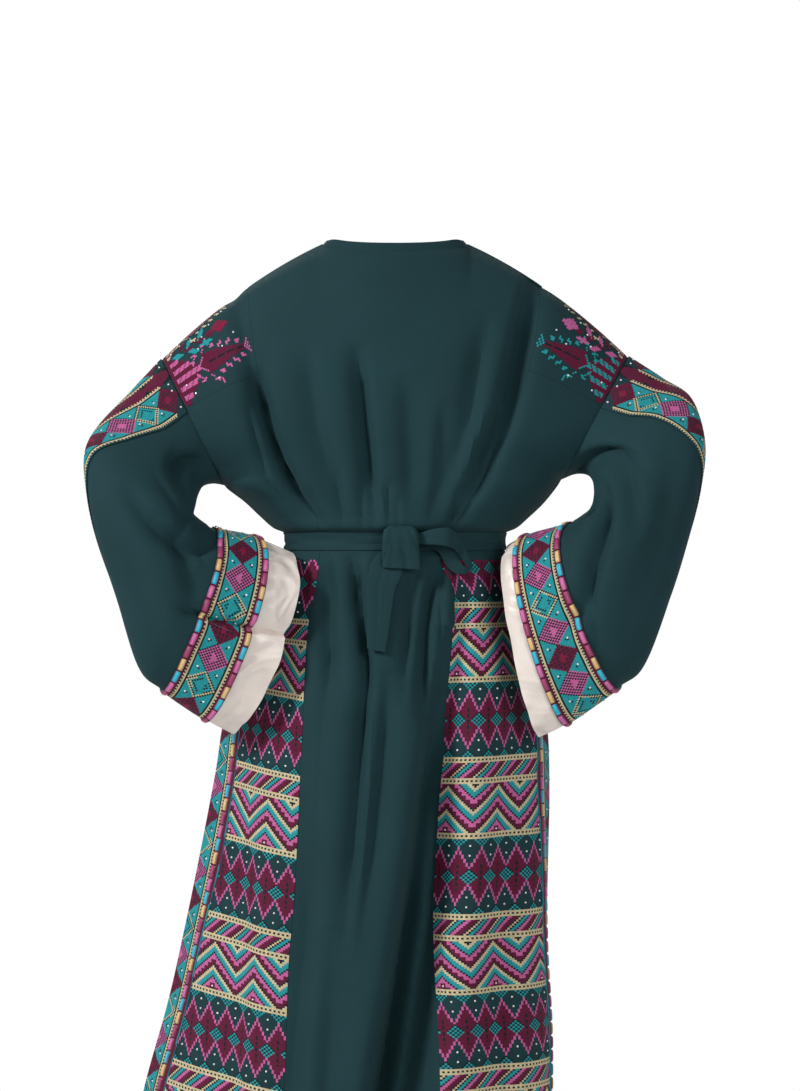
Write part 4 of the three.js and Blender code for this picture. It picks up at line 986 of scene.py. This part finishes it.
def shoulder_chart(w, t, bright, sprig):
    """Trees in striped pots and a sprig between them.

    w counts from the ridge to the back, and t inward from the armhole.
    """
    q = np.abs(w - 2)
    code = np.zeros(np.broadcast(w, t).shape, int)

    def tree(axis, base, neck, tip, wide, thread):
        d = q - axis
        side = np.abs(d)
        pot = (t >= 2) & (t < neck) & (side <= base * (1 - 3 * ((t - 2) // 3) / (neck - 2)) + 0.5)
        light = (d + 1) % (6 if axis else 4) < (3 if axis else 2)
        stripe = np.where((t + d) % 4 == 0, ROSE if thread != TURQ else MAROON, thread)
        code[pot] = np.where(light, stripe, MAROON)[pot]
        e = t - neck
        hw = wide * np.minimum(e / 4, 1) * (1 - np.maximum(0, e - 4) / (tip - neck - 2)) + 0.5
        body = (e >= 0) & (t < tip) & (side <= hw)
        code[body] = np.where((side < 0.5) & (e > 4) & (t % 6 > 0), DARK, MAROON)[body]
        dotted = (t + d) % 2 == 0
        arm = (e >= 0) & (e < 6) & (np.abs(side - e * 1.4 - 0.8) < 1.0) & dotted
        curl = spot(side, t, wide + 4.6, neck + 7, 10, 3.2, 0.9)
        curl |= spot(side, t, wide + 6.2, neck + 9, 80, 2.0, 0.9)
        lower = spot(side, t, 4.6, neck - 3, 62, 3.4, 0.9) | spot(side, t, 7.6, neck - 1, -10, 2.4, 0.9)
        code[arm | curl | lower] = thread
        for ct in np.arange(neck + 11, tip - 1, 5):
            reach = wide * (1 - (ct - neck - 4) / (tip - neck - 2)) + 2.9
            code[spot(side, t, reach, ct, 35, 1.9, 1.1)] = thread
        cap = (t >= tip - 1) & (t < tip + 4) & (side <= (t - tip + 2) * 0.9) & dotted
        code[cap] = thread

    tree(26, 16, 19, 48, 5.6, bright)
    tree(0, 8, 15, 44, 4.6, CREAM)
    # the sprig
    d = q - 9 - 0.08 * t
    for ct, cd, angle, long, short, colour in (
        (9, 2.0, 20, 4.6, 1.9, sprig), (13, -2.6, -35, 3.6, 1.6, MAROON), (16, 1.4, 15, 3.8, 1.7, MAROON),
        (19, 5.0, 25, 4.4, 1.9, sprig), (18, -2.0, -50, 4.4, 1.7, sprig), (24, 0.6, 10, 3.8, 1.8, MAROON),
        (28, 4.2, 0, 4.8, 1.9, sprig), (27, -2.8, -45, 4.4, 1.8, sprig), (32, 0.4, 5, 3.4, 1.8, MAROON),
    ):
        code[spot(d, t, cd, ct, angle, long, short)] = colour
    code[spot(d, t, -1.0, 39, 0, 6.0, 3.6)] = RED if sprig == TURQ else sprig
    code[(t < 2) & (np.abs(w) < 45)] = MAROON
    return code


# Raised beads and stones
def bead_line(name, path, normals, order, length=16.2, pitch=17.4):
    """Padded satin segments one behind another along a path on the cloth."""
    along = run_of(path)
    verts, faces, rgb, uv = [], [], [], []
    u = np.array([-1, -0.9, -0.66, 0, 0.66, 0.9, 1])
    w = np.linspace(-1, 1, 8)
    count = int(along[-1] // pitch)
    for b in range(count):
        d = pitch * (b + 0.5) + u * length / 2
        c = np.stack([np.interp(d, along, path[:, k]) for k in range(3)], -1)
        n = unit(np.stack([np.interp(d, along, normals[:, k]) for k in range(3)], -1))
        side = unit(np.cross(np.gradient(c, axis=0), n))
        round_end = np.sqrt(np.clip(1 - np.abs(u) ** 6, 0, 1)) * 0.25 + 0.75
        rise = np.sqrt(np.clip(1 - np.abs(u) ** 5, 0.0, 1))
        crown = BEAD_HEIGHT * rise[:, None] * np.sqrt(np.clip(1 - w * w, 0, 1))[None, :]
        pts = (c[:, None] + side[:, None] * (w * BEAD_WIDTH / 2)[None, :, None] * round_end[:, None, None]
               + n[:, None] * crown[..., None])
        base = sum(len(v) for v in verts)
        verts.append(pts.reshape(-1, 3))
        f = grid_faces(len(u), len(w)) + base
        faces.append(f)
        colour = np.array(PALETTE[order[b % len(order)]])
        r, q = np.divmod(f - base, len(w))
        off = np.abs(2 * q / (len(w) - 1) - 1)
        framed = np.where((r == 0) | (r == len(u) - 1), 1, np.clip((off - 0.5) / 0.4, 0, 1)).reshape(-1, 1)
        # each bead is painted lighter along its middle and darker toward its sides, a painted highlight and
        # shade; its ends and edges turn to the maroon of its own outline
        rgb.append(lerp(colour * (1.3 - 0.5 * off**2).reshape(-1, 1), np.array(PALETTE["maroon"]), framed))
        uv.append(np.stack([r / (len(u) - 1), q / (len(w) - 1)], -1).reshape(-1, 2))
    faces = np.concatenate(faces)
    verts = np.concatenate(verts)
    piece = new_object(name, verts, faces)
    paint(piece, np.concatenate(rgb), np.concatenate(uv))
    piece.data.materials.append(MAT_THREAD)
    return piece


def stones(name, grid, nrm, i, k, lift):
    """Small cut stones over the middles of cells of a grid, each a low dome with facets."""
    verts, faces = [], []
    places = (grid[i, k] + grid[i + 1, (k + 1) % grid.shape[1]]) / 2 + nrm[i, k] * lift
    for c, n in zip(places, nrm[i, k]):
        n = n / np.linalg.norm(n)
        a = np.cross(n, [0.3, 0.5, 0.81])
        a /= np.linalg.norm(a)
        b = np.cross(n, a)
        base = len(verts) * 17
        pts = []
        for r, h in ((1.0, 0.0), (0.62, 0.62)):
            for k in range(8):
                ang = math.pi * (k + (0.5 if r < 1 else 0)) / 4
                pts.append(c + STONE_RADIUS * (r * (math.cos(ang) * a + math.sin(ang) * b) + h * n))
        pts.append(c + STONE_RADIUS * 0.72 * n)
        verts.append(pts)
        for k in range(8):
            m = (k + 1) % 8
            low_k, low_m, high_k, high_m = (base + corner for corner in (k, m, 8 + k, 8 + m))
            faces += [(low_k, low_m, high_k), (low_m, high_m, high_k), (high_k, high_m, base + 16)]
    piece = new_object(name, np.concatenate(verts), faces, smooth=False)
    piece.data.materials.append(MAT_STONE)
    return piece


# The body
LAST = len(FINE_U) - 1
YOKE = ROW_AT[YOKE_ROW]
HUNG = {}  # pieces of the body with their surfaces, declared once all that is sewn on them is made


def cloth(name, face, r0, r1, c0, c1, dip="lr", edit=None):
    p = BODY[face][r0 : r1 + 1, c0 : c1 + 1]
    if edit:
        p = edit(p.copy())
    n = NORMAL[face][r0 : r1 + 1, c0 : c1 + 1]
    replaced = name.replace("panel_", "")
    piece = shell(name, p, n, 0, CLOTH - seam_dip(p, sides=dip), [replaced], MAT_CREPE)
    HUNG[name] = (piece, p)


cloth("panel_back_centre", 1, 0, LAST, HALF - COL_SEAM, HALF + COL_SEAM)
cloth("panel_side_back_left", 1, YOKE, LAST, HALF + COL_SEAM, 2 * HALF)
cloth("panel_side_back_right", 1, YOKE, LAST, 0, HALF - COL_SEAM)


def slit(side):
    def edit(p):
        col = 0 if side > 0 else p.shape[1] - 1
        below = p[0, col, 2] - p[:, col, 2]
        p[:, col, 0] += side * SLIT_HALF_WIDTH * np.clip(1 - below / SLIT_LENGTH, 0, 1)
        return p
    return edit


cloth("panel_front_left", -1, 0, LAST, HALF, HALF + COL_SEAM, edit=slit(1), dip="r")
cloth("panel_front_right", -1, 0, LAST, HALF - COL_SEAM, HALF, edit=slit(-1), dip="l")
cloth("panel_side_front_left", -1, YOKE, LAST, HALF + COL_SEAM, 2 * HALF)
cloth("panel_side_front_right", -1, YOKE, LAST, 0, HALF - COL_SEAM)

# Stones of a shoulder, in stitches: from the ridge to the back, and inward from the armhole
SHOULDER_STONES = (
    (3, 4), (8, 5), (3, 11), (33, 6), (40, 9), (13, 27), (18, 22),
    (24, 36), (9, 34), (20, 45), (38, 26), (-12, 6), (-20, 24), (6, 44),
)


def over_shoulder(source, columns):
    """Rows from the front yoke line over the ridge to the back one."""
    return np.concatenate([source[-1][1 : YOKE + 1, columns][::-1], source[1][: YOKE + 1, columns]])


for name, side in (("left", 1), ("right", -1)):
    columns = slice(HALF + COL_SEAM, 2 * HALF + 1) if side > 0 else slice(0, HALF - COL_SEAM + 1)
    p, n = over_shoulder(BODY, columns), over_shoulder(NORMAL, columns)
    high = CLOTH - seam_dip(p)
    piece = shell("panel_shoulder_" + name, p, n, 0, high, ["shoulder_" + name], MAT_CREPE)
    edge = p[:YOKE, -1 if side > 0 else 0]
    ridge = int(np.linalg.norm(np.diff(edge, axis=0), axis=-1).sum() / STITCH)
    grid, nrm, cell, v, s = laid(p, n, p.shape[1] - 1 if side > 0 else 0, middle=ridge, spread=0.002)
    w = v - ridge
    t = (-s - 1 if side > 0 else s) - 1
    bright, sprig = (PINK, TURQ) if side > 0 else (TURQ, PINK)
    code = shoulder_chart(w, t, bright, sprig) * (cell & (t >= 0))
    sewn = stitch_piece("embroidery_shoulder_" + name, grid, nrm, code, CLOTH + THREAD_LIFT, 23 + side)
    where = []
    for dw, dt in SHOULDER_STONES:
        at = np.argwhere(cell & (w == dw) & (t == dt))
        if len(at):
            where.append(tuple(at[0]))
    i, k = np.array(where).T
    gems = stones("stones_shoulder_" + name, grid, nrm, i, k, CLOTH + STONE_LIFT)
    declare(piece, p)

# Embroidered skirt panels
PANEL_START = {1: (7, (8, 3, 16)), -1: (15, (3, 10, 22))}
SKIRT_TOP = ROW_AT[ARMHOLE_ROWS + 1 + 5]
for face, word in ((1, "back"), (-1, "front")):
    for side, name in ((1, "left"), (-1, "right")):
        if side > 0:
            p = BODY[face][SKIRT_TOP:, HALF + COL_SEAM : 2 * HALF + 1]
            n = NORMAL[face][SKIRT_TOP:, HALF + COL_SEAM : 2 * HALF + 1]
        else:
            p = BODY[face][SKIRT_TOP:, : HALF - COL_SEAM + 1][:, ::-1]
            n = NORMAL[face][SKIRT_TOP:, : HALF - COL_SEAM + 1][:, ::-1]
        under = SUB_STRIP  # the border covers the cloth beyond this
        p, n = p[:, : p.shape[1] - under], n[:, : n.shape[1] - under]
        grid, nrm, cell, v, s = laid(p, n, pitch=PANEL_PITCH, step=PANEL_STEP[side], gather=PANEL_GATHER)
        code, put = panel_chart(v, -s * side * face, *PANEL_START[side])
        code, put = code * cell, put & cell
        seed = side + 3 * face
        sewn = stitch_piece(f"embroidery_side_{word}_{name}", grid, nrm, code, CLOTH + THREAD_LIFT, seed)
        gems = stones(f"stones_side_{word}_{name}", grid, nrm, *np.nonzero(put), CLOTH + STONE_LIFT)
        piece, surface = HUNG.pop(f"panel_side_{word}_{name}")
        declare(piece, surface)
for piece, surface in HUNG.values():
    declare(piece, surface)

# Side borders
STRIP_TOP = ROW_AT[ARMHOLE_ROWS + 1 + STRIP_TOP_SECTION]
for side, name in ((1, "left"), (-1, "right")):
    cols = np.arange(HALF + COL_STRIP, 2 * HALF + 1) if side > 0 else np.arange(HALF - COL_STRIP, -1, -1)
    p = np.concatenate([BODY[1][STRIP_TOP:, cols], BODY[-1][STRIP_TOP:, cols[::-1][1:]]], 1)
    n = np.concatenate([NORMAL[1][STRIP_TOP:, cols], NORMAL[-1][STRIP_TOP:, cols[::-1][1:]]], 1)
    low, high = CLOTH + GAP, CLOTH + GAP + TRIM
    strip = shell("border_side_" + name, p, n, low, high, ["side_strip_" + name], MAT_GROUND)
    mid = len(cols) - 1
    grid, nrm, cell, v, s = laid(p, n, origin=mid)
    code = border_chart(v, s, 17, 3, 17) * cell
    sewn = stitch_piece("embroidery_side_" + name, grid, nrm, code, high + THREAD_LIFT, 7 + side)
    for edge, word in ((1, "back"), (-1, "front")):
        col = int(np.argmin(np.abs(s[0] + edge * 14.5)))
        path = (grid[:, col] + grid[:, col + 1]) / 2 + nrm[:, col] * (high + STONE_LIFT)
        bead_line(f"beads_side_{name}_{word}", path, nrm[:, col], ["gold", "rose", "pink", "blue"])
    i, k = np.nonzero(cell & ((v + 3) % 17 == 0) & ((s == -7) | (s == 6)))
    stones("stones_strip_" + name, grid, nrm, i, k, high + STONE_LIFT)
    declare(strip, p)

# Sleeves
for side, name in ((1, "left"), (-1, "right")):
    p, n = SLEEVE[side], SLEEVE_N[side]
    high = CLOTH - seam_dip(p, sides="t")
    piece = shell("panel_sleeve_" + name, p, n, 0, high, ["sleeve_" + name], MAT_CREPE, wraps=True)
    declare(piece, p, wraps=True)
    border = BORDER_RING * RING_SUB
    low, high = CLOTH + GAP, CLOTH + GAP + TRIM
    # the band down the outer line, wider to the back near the armhole
    reach = 3 * AROUND // 18
    rings = SLEEVE_RINGS[: border + 1]
    arc = run_of(closed(p), 1)
    shift = np.interp(rings, [0, 1, 2, 3, 5, 8], [37, 34, 24, 6, -14, -24])
    k = np.zeros((border + 1, 2 * reach + 1))
    for i in range(border + 1):
        total = arc[i, -1]
        want = np.linspace(-BAND_HALF_WIDTH, BAND_HALF_WIDTH, 2 * reach + 1) + shift[i]
        k[i] = np.interp(np.mod(want, total), arc[i], np.arange(AROUND + 1))
    low_k = np.floor(k).astype(int)
    rows = np.arange(border + 1)[:, None]
    before, after = low_k % AROUND, (low_k + 1) % AROUND
    q, m = (lerp(a[rows, before], a[rows, after], (k - low_k)[..., None]) for a in (p, n))
    replaced = ["sleeve_strip_" + name]
    strip = shell("border_sleeve_" + name, q, m, low, high, replaced, MAT_CREPE, trim=2 * GAP)
    grid, nrm, cell, v, t = laid(q, m, origin=reach)
    half = np.where(t >= 0, t, -t - 1)  # distance from the ridge, in stitches
    begun = v > 8
    heart = half < 1.2 + 3.2 * np.sin(np.pi * ((v % 18) + 0.5) / 18)
    code = np.where(heart, MAROON, np.where(begun | (half < 5), DARK, 0))
    code = np.where(begun & ((half == 5) | (half == 4) & (v % 2 == 0)), CREAM, code)
    mid = np.where(t >= 0, half - 16, 15 - half)
    band = diamond_chart(v, mid, 9.2, 0, 18, (1, 0, 2))
    inside = (half >= 7) & (half < 25)
    code = np.where(inside & (begun | (band == MAROON) | (band == RED)), band, np.where(inside, 0, code))
    code = np.where(begun & ((half == 26) | (half == 27) & (v % 2 == 0)), CREAM, np.where(half > 26, 0, code))
    code = np.where(begun | inside | (half < 5), code, 0)
    sewn = stitch_piece("embroidery_sleeve_" + name, grid, nrm, code * cell, high + THREAD_LIFT, 11 + side)
    in_diamonds = (v % 18 == 0) & (v > 9) & np.isin(half, (11, 20))
    put = cell & (in_diamonds | (v == 3) & np.isin(half, (7, 12, 24)))
    gems = stones("stones_sleeve_" + name, grid, nrm, *np.nonzero(put), high + STONE_LIFT)
    declare(strip, q)
    # the border round the cuff
    q, m = p[border:], n[border:]
    replaced = ["cuff_border_" + name]
    cuff = shell("border_cuff_" + name, q, m, low, high, replaced, MAT_GROUND,
                 wraps=True, trim=2 * GAP)
    ring = q[len(q) // 2]
    length = run_of(np.concatenate([ring, ring[:1]]))
    order = (0, 2, 1) if side > 0 else (0, 2, 1, 2)
    count = round(length[-1] / 36 / len(order)) * len(order) * 17
    col = np.interp(np.arange(count) / count * length[-1], length, np.arange(AROUND + 1))
    across = 32
    row = np.linspace(0, len(q) - 1, across + 1)

    def read(a):
        a = closed(a)
        c0 = np.clip(np.floor(col).astype(int), 0, AROUND - 1)
        a = lerp(a[:, c0], a[:, c0 + 1], (col - c0)[None, :, None])
        r0 = np.clip(np.floor(row).astype(int), 0, len(q) - 2)
        return lerp(a[r0], a[r0 + 1], (row - r0)[:, None, None])

    grid, nrm = read(q), read(m)
    s = (np.arange(across) - across // 2)[:, None]
    v = np.arange(count)[None, :]
    code = border_chart(v + 0 * s, s + 0 * v, across // 2, CUFF_START[side], 17, order)
    sewn = stitch_piece("embroidery_cuff_" + name, grid, nrm, code, high + THREAD_LIFT, 17 + side)
    for at, word in ((2, "outer"), (across - 2, "inner")):
        loop = np.concatenate([grid[at], grid[at, :1]])
        loop_n = np.concatenate([nrm[at], nrm[at, :1]])
        total = np.linalg.norm(np.diff(loop, axis=0), axis=-1).sum()
        fit = total / max(1, round(total / 18.2))
        path = loop + loop_n * (high + STONE_LIFT)
        bead_line(f"beads_cuff_{name}_{word}", path, loop_n, ["rose", "pink", "blue", "gold"],
                            length=fit - 1.5, pitch=fit * 0.9999)
    i, k = np.nonzero(((v + CUFF_START[side]) % 17 == 0) & ((s == -6) | (s == 5)) & (code != 0))
    stones("stones_cuff_" + name, grid, nrm, i, k, high + STONE_LIFT)
    declare(cuff, q, wraps=True)
    # the satin
    q, m = MOUTH[side], MOUTH_N[side]
    high = CLOTH - seam_dip(q, sides="t")
    end = shell("satin_cuff_" + name, q, m, 0, high, ["cuff_satin_" + name], MAT_SATIN, wraps=True)
    declare(end, q, wraps=True)

# Neckband
there = np.linspace(0, NECK_COLUMNS, NECK_QUARTER + 1)
back = there[::-1]
ring = np.concatenate([
    top_point(-1, 1, there), top_point(1, 1, back)[1:],
    top_point(1, -1, there)[1:], top_point(-1, -1, back)[1:],
])
ring[0, 0] += SLIT_HALF_WIDTH
ring[-1, 0] -= SLIT_HALF_WIDTH
lean = np.stack([-0.25 * ring[:, 0], -0.25 * ring[:, 1], np.full(len(ring), 2.0 * NECKBAND_HEIGHT)], -1)
lean = unit(lean)
# the band is lower where the shoulder seams end, which leaves no corner there
at = np.arange(len(ring))
lower = 1 - groove(at, NECK_QUARTER, 5, 0.45) - groove(at, 3 * NECK_QUARTER, 5, 0.45)
height = ((CLOTH + GAP + NECKBAND_HEIGHT) * lower)[:, None]
p = np.stack([ring + lean * (-0.6 + (height + 0.6) * t) for t in np.linspace(0, 1, 7)])
n = unit(p * [1, 1, 0])
t = np.linspace(-1, 1, 7)[:, None]
half = CLOTH / 2 * (1 - 0.3 * t**4)
band = shell("panel_neckband", p, n, -half, half, ["neckband"], MAT_CREPE)
declare(band, p)

# Belt
top, low = ROW_AT[ARMHOLE_ROWS + 1 + BELT_TOP_SECTION], ROW_AT[ARMHOLE_ROWS + 1 + BELT_LOW_SECTION]


def belt_ring(source):
    return np.concatenate([source[1][top : low + 1], source[-1][top : low + 1, 1:-1][:, ::-1]], 1)


p, n = belt_ring(BODY), belt_ring(NORMAL)
n = unit(n * [1, 1, 0.15])
t = np.linspace(-1, 1, len(p))[:, None]
wave = 0.18 * np.sin(np.arange(p.shape[1]) * 0.11)[None, :]
height = BELT_THICKNESS * (1 - 0.35 * t**6)
height = height - groove(t - wave, 0.18, 0.12, 1.7) - groove(t + wave, -0.5, 0.09, 0.9)
low, high = CLOTH + GAP, CLOTH + GAP + height
belt = shell("belt_round", p, n, low, high, ["belt_band"], MAT_CREPE, wraps=True)
declare(belt, p, wraps=True)


def cover(x, z, reach):
    q = BODY[1].reshape(-1, 3)
    d = np.hypot(q[:, 0] - x, q[:, 2] - z)
    near = d < max(reach, 4.5)
    return (q[near, 1].max() if near.any() else q[np.argmin(d), 1]) + CLOTH


belt_face = CLOTH + GAP + BELT_THICKNESS
rim = [(1, 0.25), (1, 0.65), (0.86, 0.92), (0.3, 1), (-0.3, 1), (-0.86, 0.92), (-1, 0.65), (-1, 0.25)]


def knot_inside(x, z, back):
    """How far back the knot reaches: as given, or down to the belt's face or the cloth under it."""
    if back:
        return back
    if SECTIONS[BELT_LOW_SECTION][0] < z < SECTIONS[BELT_TOP_SECTION][0]:
        return cover(x, z, 1) - CLOTH + belt_face + GAP
    return cover(x, z, 7) + GAP


rings = []
for z, left, right, back, front in KNOT:
    mid, half = (left + right) / 2, (left - right) / 2
    base = knot_inside(mid, z, back)
    outside = [[mid + half * a, lerp(base, front, b), z] for a, b in rim]
    inside = [[mid + half * a, knot_inside(mid + half * a, z, back), z] for a in (-0.86, 0, 0.86)]
    rings.append(outside + inside)
rings = np.array(rings)
u = np.array([0, 5, 12, 29, 31, 43, 54], float)
at = np.linspace(0, 54, 37)
place = np.clip(np.searchsorted(u, at, side="right") - 1, 0, len(u) - 2)
fine = lerp(rings[place], rings[place + 1], ((at - u[place]) / (u[place + 1] - u[place]))[:, None, None])
closed_ring = np.concatenate([fine, fine[:, :3]], 1).transpose(1, 0, 2)
fine = spline(np.arange(14, dtype=float), closed_ring, np.linspace(1, 12, 56)[:-1]).transpose(1, 0, 2)
x = fine[..., 0]
face_share = np.clip((fine[..., 1] - 104) / 6, 0, 1)
zz = fine[..., 2]
for cx, cz, slope, w, deep in KNOT_CREASES:
    d = (x - cx) - slope * (zz - cz)
    fine[..., 1] -= face_share * deep * np.exp(-((d / w) ** 2)) * np.clip((-360 - zz) / 8, 0, 1)
humps = groove(x, 4, 6, 1.8) + groove(x, -17, 6, 1.2) - 0.8
fine[..., 2] += np.clip((zz + 372) / 10, 0, 1) * humps + np.clip((-396 - zz) / 14, 0, 1) * 0.055 * (x + 8)
count, across = fine.shape[:2]
verts = np.concatenate([fine.reshape(-1, 3), fine[[0, -1]].mean(axis=1)])
faces = grid_faces(count, across, True)
k = np.arange(across)
m = (k + 1) % across
last = (count - 1) * across
top_end, low_end = np.full(across, count * across), np.full(across, count * across + 1)
fan = np.concatenate([np.stack([m, k, top_end], -1), np.stack([last + k, last + m, low_end], -1)])


def capped(name, verts, quads, fan, node):
    """A closed lump of four-cornered faces, with a fan of triangles at each end."""
    mesh = bpy.data.meshes.new(name)
    mesh.from_pydata((verts / 1000).tolist(), [], quads.tolist() + fan.tolist())
    mesh.validate()
    bm = bmesh.new()
    bm.from_mesh(mesh)
    bmesh.ops.recalc_face_normals(bm, faces=bm.faces)
    bm.to_mesh(mesh)
    bm.free()
    mesh.polygons.foreach_set("use_smooth", np.ones(len(mesh.polygons), bool))
    piece = bpy.data.objects.new(name, mesh)
    bpy.context.scene.collection.objects.link(piece)
    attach(piece, "root")
    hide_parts(node)
    return piece


knot = capped("belt_tie", verts, faces, fan, "belt_knot")
knot.data.materials.append(MAT_CREPE)

rows = []
for lx, lz, rx, rz, lift, y in TAIL:
    pts = []
    for t in (0, 1 / 3, 2 / 3, 1):
        x, z = lerp(lx, rx, t), lerp(lz, rz, t)
        over = max(cover(x, z, 10), cover((lx + rx) / 2, z, 14))
        pts.append([x, y or over + lift, z])
    rows.append(pts)
rows = np.array(rows)
fine = spline(np.array([0, 13, 30, 46, 74, 102, 124], float), rows, np.linspace(0, 124, 42))
fine = spline(np.arange(4, dtype=float), fine.transpose(1, 0, 2), np.linspace(0, 3, 17)).transpose(1, 0, 2)
n = grid_normals(fine)
n = n if n[..., 1].mean() > 0 else -n
t = np.linspace(0, 1, 17)[None, :]
d = np.linspace(0, 1, 42)[:, None]
height = BELT_THICKNESS * (1 - 0.3 * (2 * t - 1) ** 6)
height = height - groove(t - 0.1 * d, 0.38, 0.06, 0.9) * (1 - d * 0.6)
height = height - groove(t + 0.1 * d, 0.72, 0.05, 0.6) * (1 - d)
tail = shell("belt_end", fine, n, 0, height, ["belt_tail"], MAT_CREPE)
declare(tail, fine)

rows = []
for ox, oz, ix, iz, lift in LOOP:
    base = cover((ox + ix) / 2, (oz + iz) / 2, 14)
    rows.append([[lerp(ox, ix, t), base + lift, lerp(oz, iz, t)] for t in (0, 0.5, 1)])
rows = np.array(rows)
u = run_of(rows[:, 1])
fine = spline(u, rows, np.linspace(0, u[-1], 61))
fine = spline(np.arange(3, dtype=float), fine.transpose(1, 0, 2), np.linspace(0, 2, 13)).transpose(1, 0, 2)
n = grid_normals(fine)
centre = fine.reshape(-1, 3).mean(axis=0)
n = n if ((fine - centre) * n).sum() > 0 else -n
t = np.linspace(-1, 1, 13)[None, :]
height = CLOTH * (1 - 0.3 * t**6) - groove(t, 0.1, 0.12, 0.5)
loop = shell("belt_bow", fine, n, 0, height, ["belt_loop"], MAT_CREPE)
declare(loop, fine)

# Stage
floor_mesh = bpy.data.meshes.new("floor")
FLOOR_HALF, FLOOR_Z = 2.3, -1.43  # in metres
corners = [(x * FLOOR_HALF, y * FLOOR_HALF, FLOOR_Z) for x, y in ((-1, -1), (1, -1), (1, 1), (-1, 1))]
floor_mesh.from_pydata(corners, [], [(0, 1, 2, 3)])
floor = bpy.data.objects.new("floor", floor_mesh)
bpy.context.scene.collection.objects.link(floor)
floor.data.materials.append(paper("pale_floor", (0.86, 0.86, 0.85)))

world = bpy.data.worlds.new("studio")
bpy.context.scene.world = world
world.use_nodes = True
world.node_tree.nodes["Background"].inputs[0].default_value = (1, 1, 1, 1)
world.node_tree.nodes["Background"].inputs[1].default_value = 0.24
backdrop = world.node_tree.nodes.new("ShaderNodeBackground")
rays = world.node_tree.nodes.new("ShaderNodeLightPath")
either = world.node_tree.nodes.new("ShaderNodeMixShader")
world.node_tree.links.new(rays.outputs["Is Camera Ray"], either.inputs[0])
world.node_tree.links.new(world.node_tree.nodes["Background"].outputs[0], either.inputs[1])
world.node_tree.links.new(backdrop.outputs[0], either.inputs[2])
backdrop.inputs[0].default_value = (1, 1, 1, 1)
world.node_tree.links.new(either.outputs[0], world.node_tree.nodes["World Output"].inputs[0])


def lamp(name, place, at, size, power):
    light = bpy.data.lights.new(name, "AREA")
    light.shape, light.size, light.energy = "SQUARE", size, power
    made = bpy.data.objects.new(name, light)
    made.location = place
    made.rotation_euler = (Vector(at) - Vector(place)).to_track_quat("-Z", "Y").to_euler()
    bpy.context.scene.collection.objects.link(made)


lamp("key", (3.2, 1.9, 1.6), (0, 0, -0.6), 0.8, 126)
lamp("fill", (-2.2, 3.4, 0.6), (0, 0, -0.7), 1.4, 48)
lamp("front", (0.4, -3.4, 1.4), (0, 0, -0.6), 1.8, 60)

camera = bpy.data.cameras.new("camera")
camera.lens, camera.sensor_width = 128.69, 36
eye = bpy.data.objects.new("camera", camera)
eye.location = (-0.0064, 5.0, -0.385)
eye.rotation_euler = (math.radians(90), 0, math.radians(180))
bpy.context.scene.collection.objects.link(eye)
bpy.context.scene.camera = eye
bpy.context.scene.view_settings.view_transform = "Standard"

for cut in CUTS:
    print("cut", *cut)
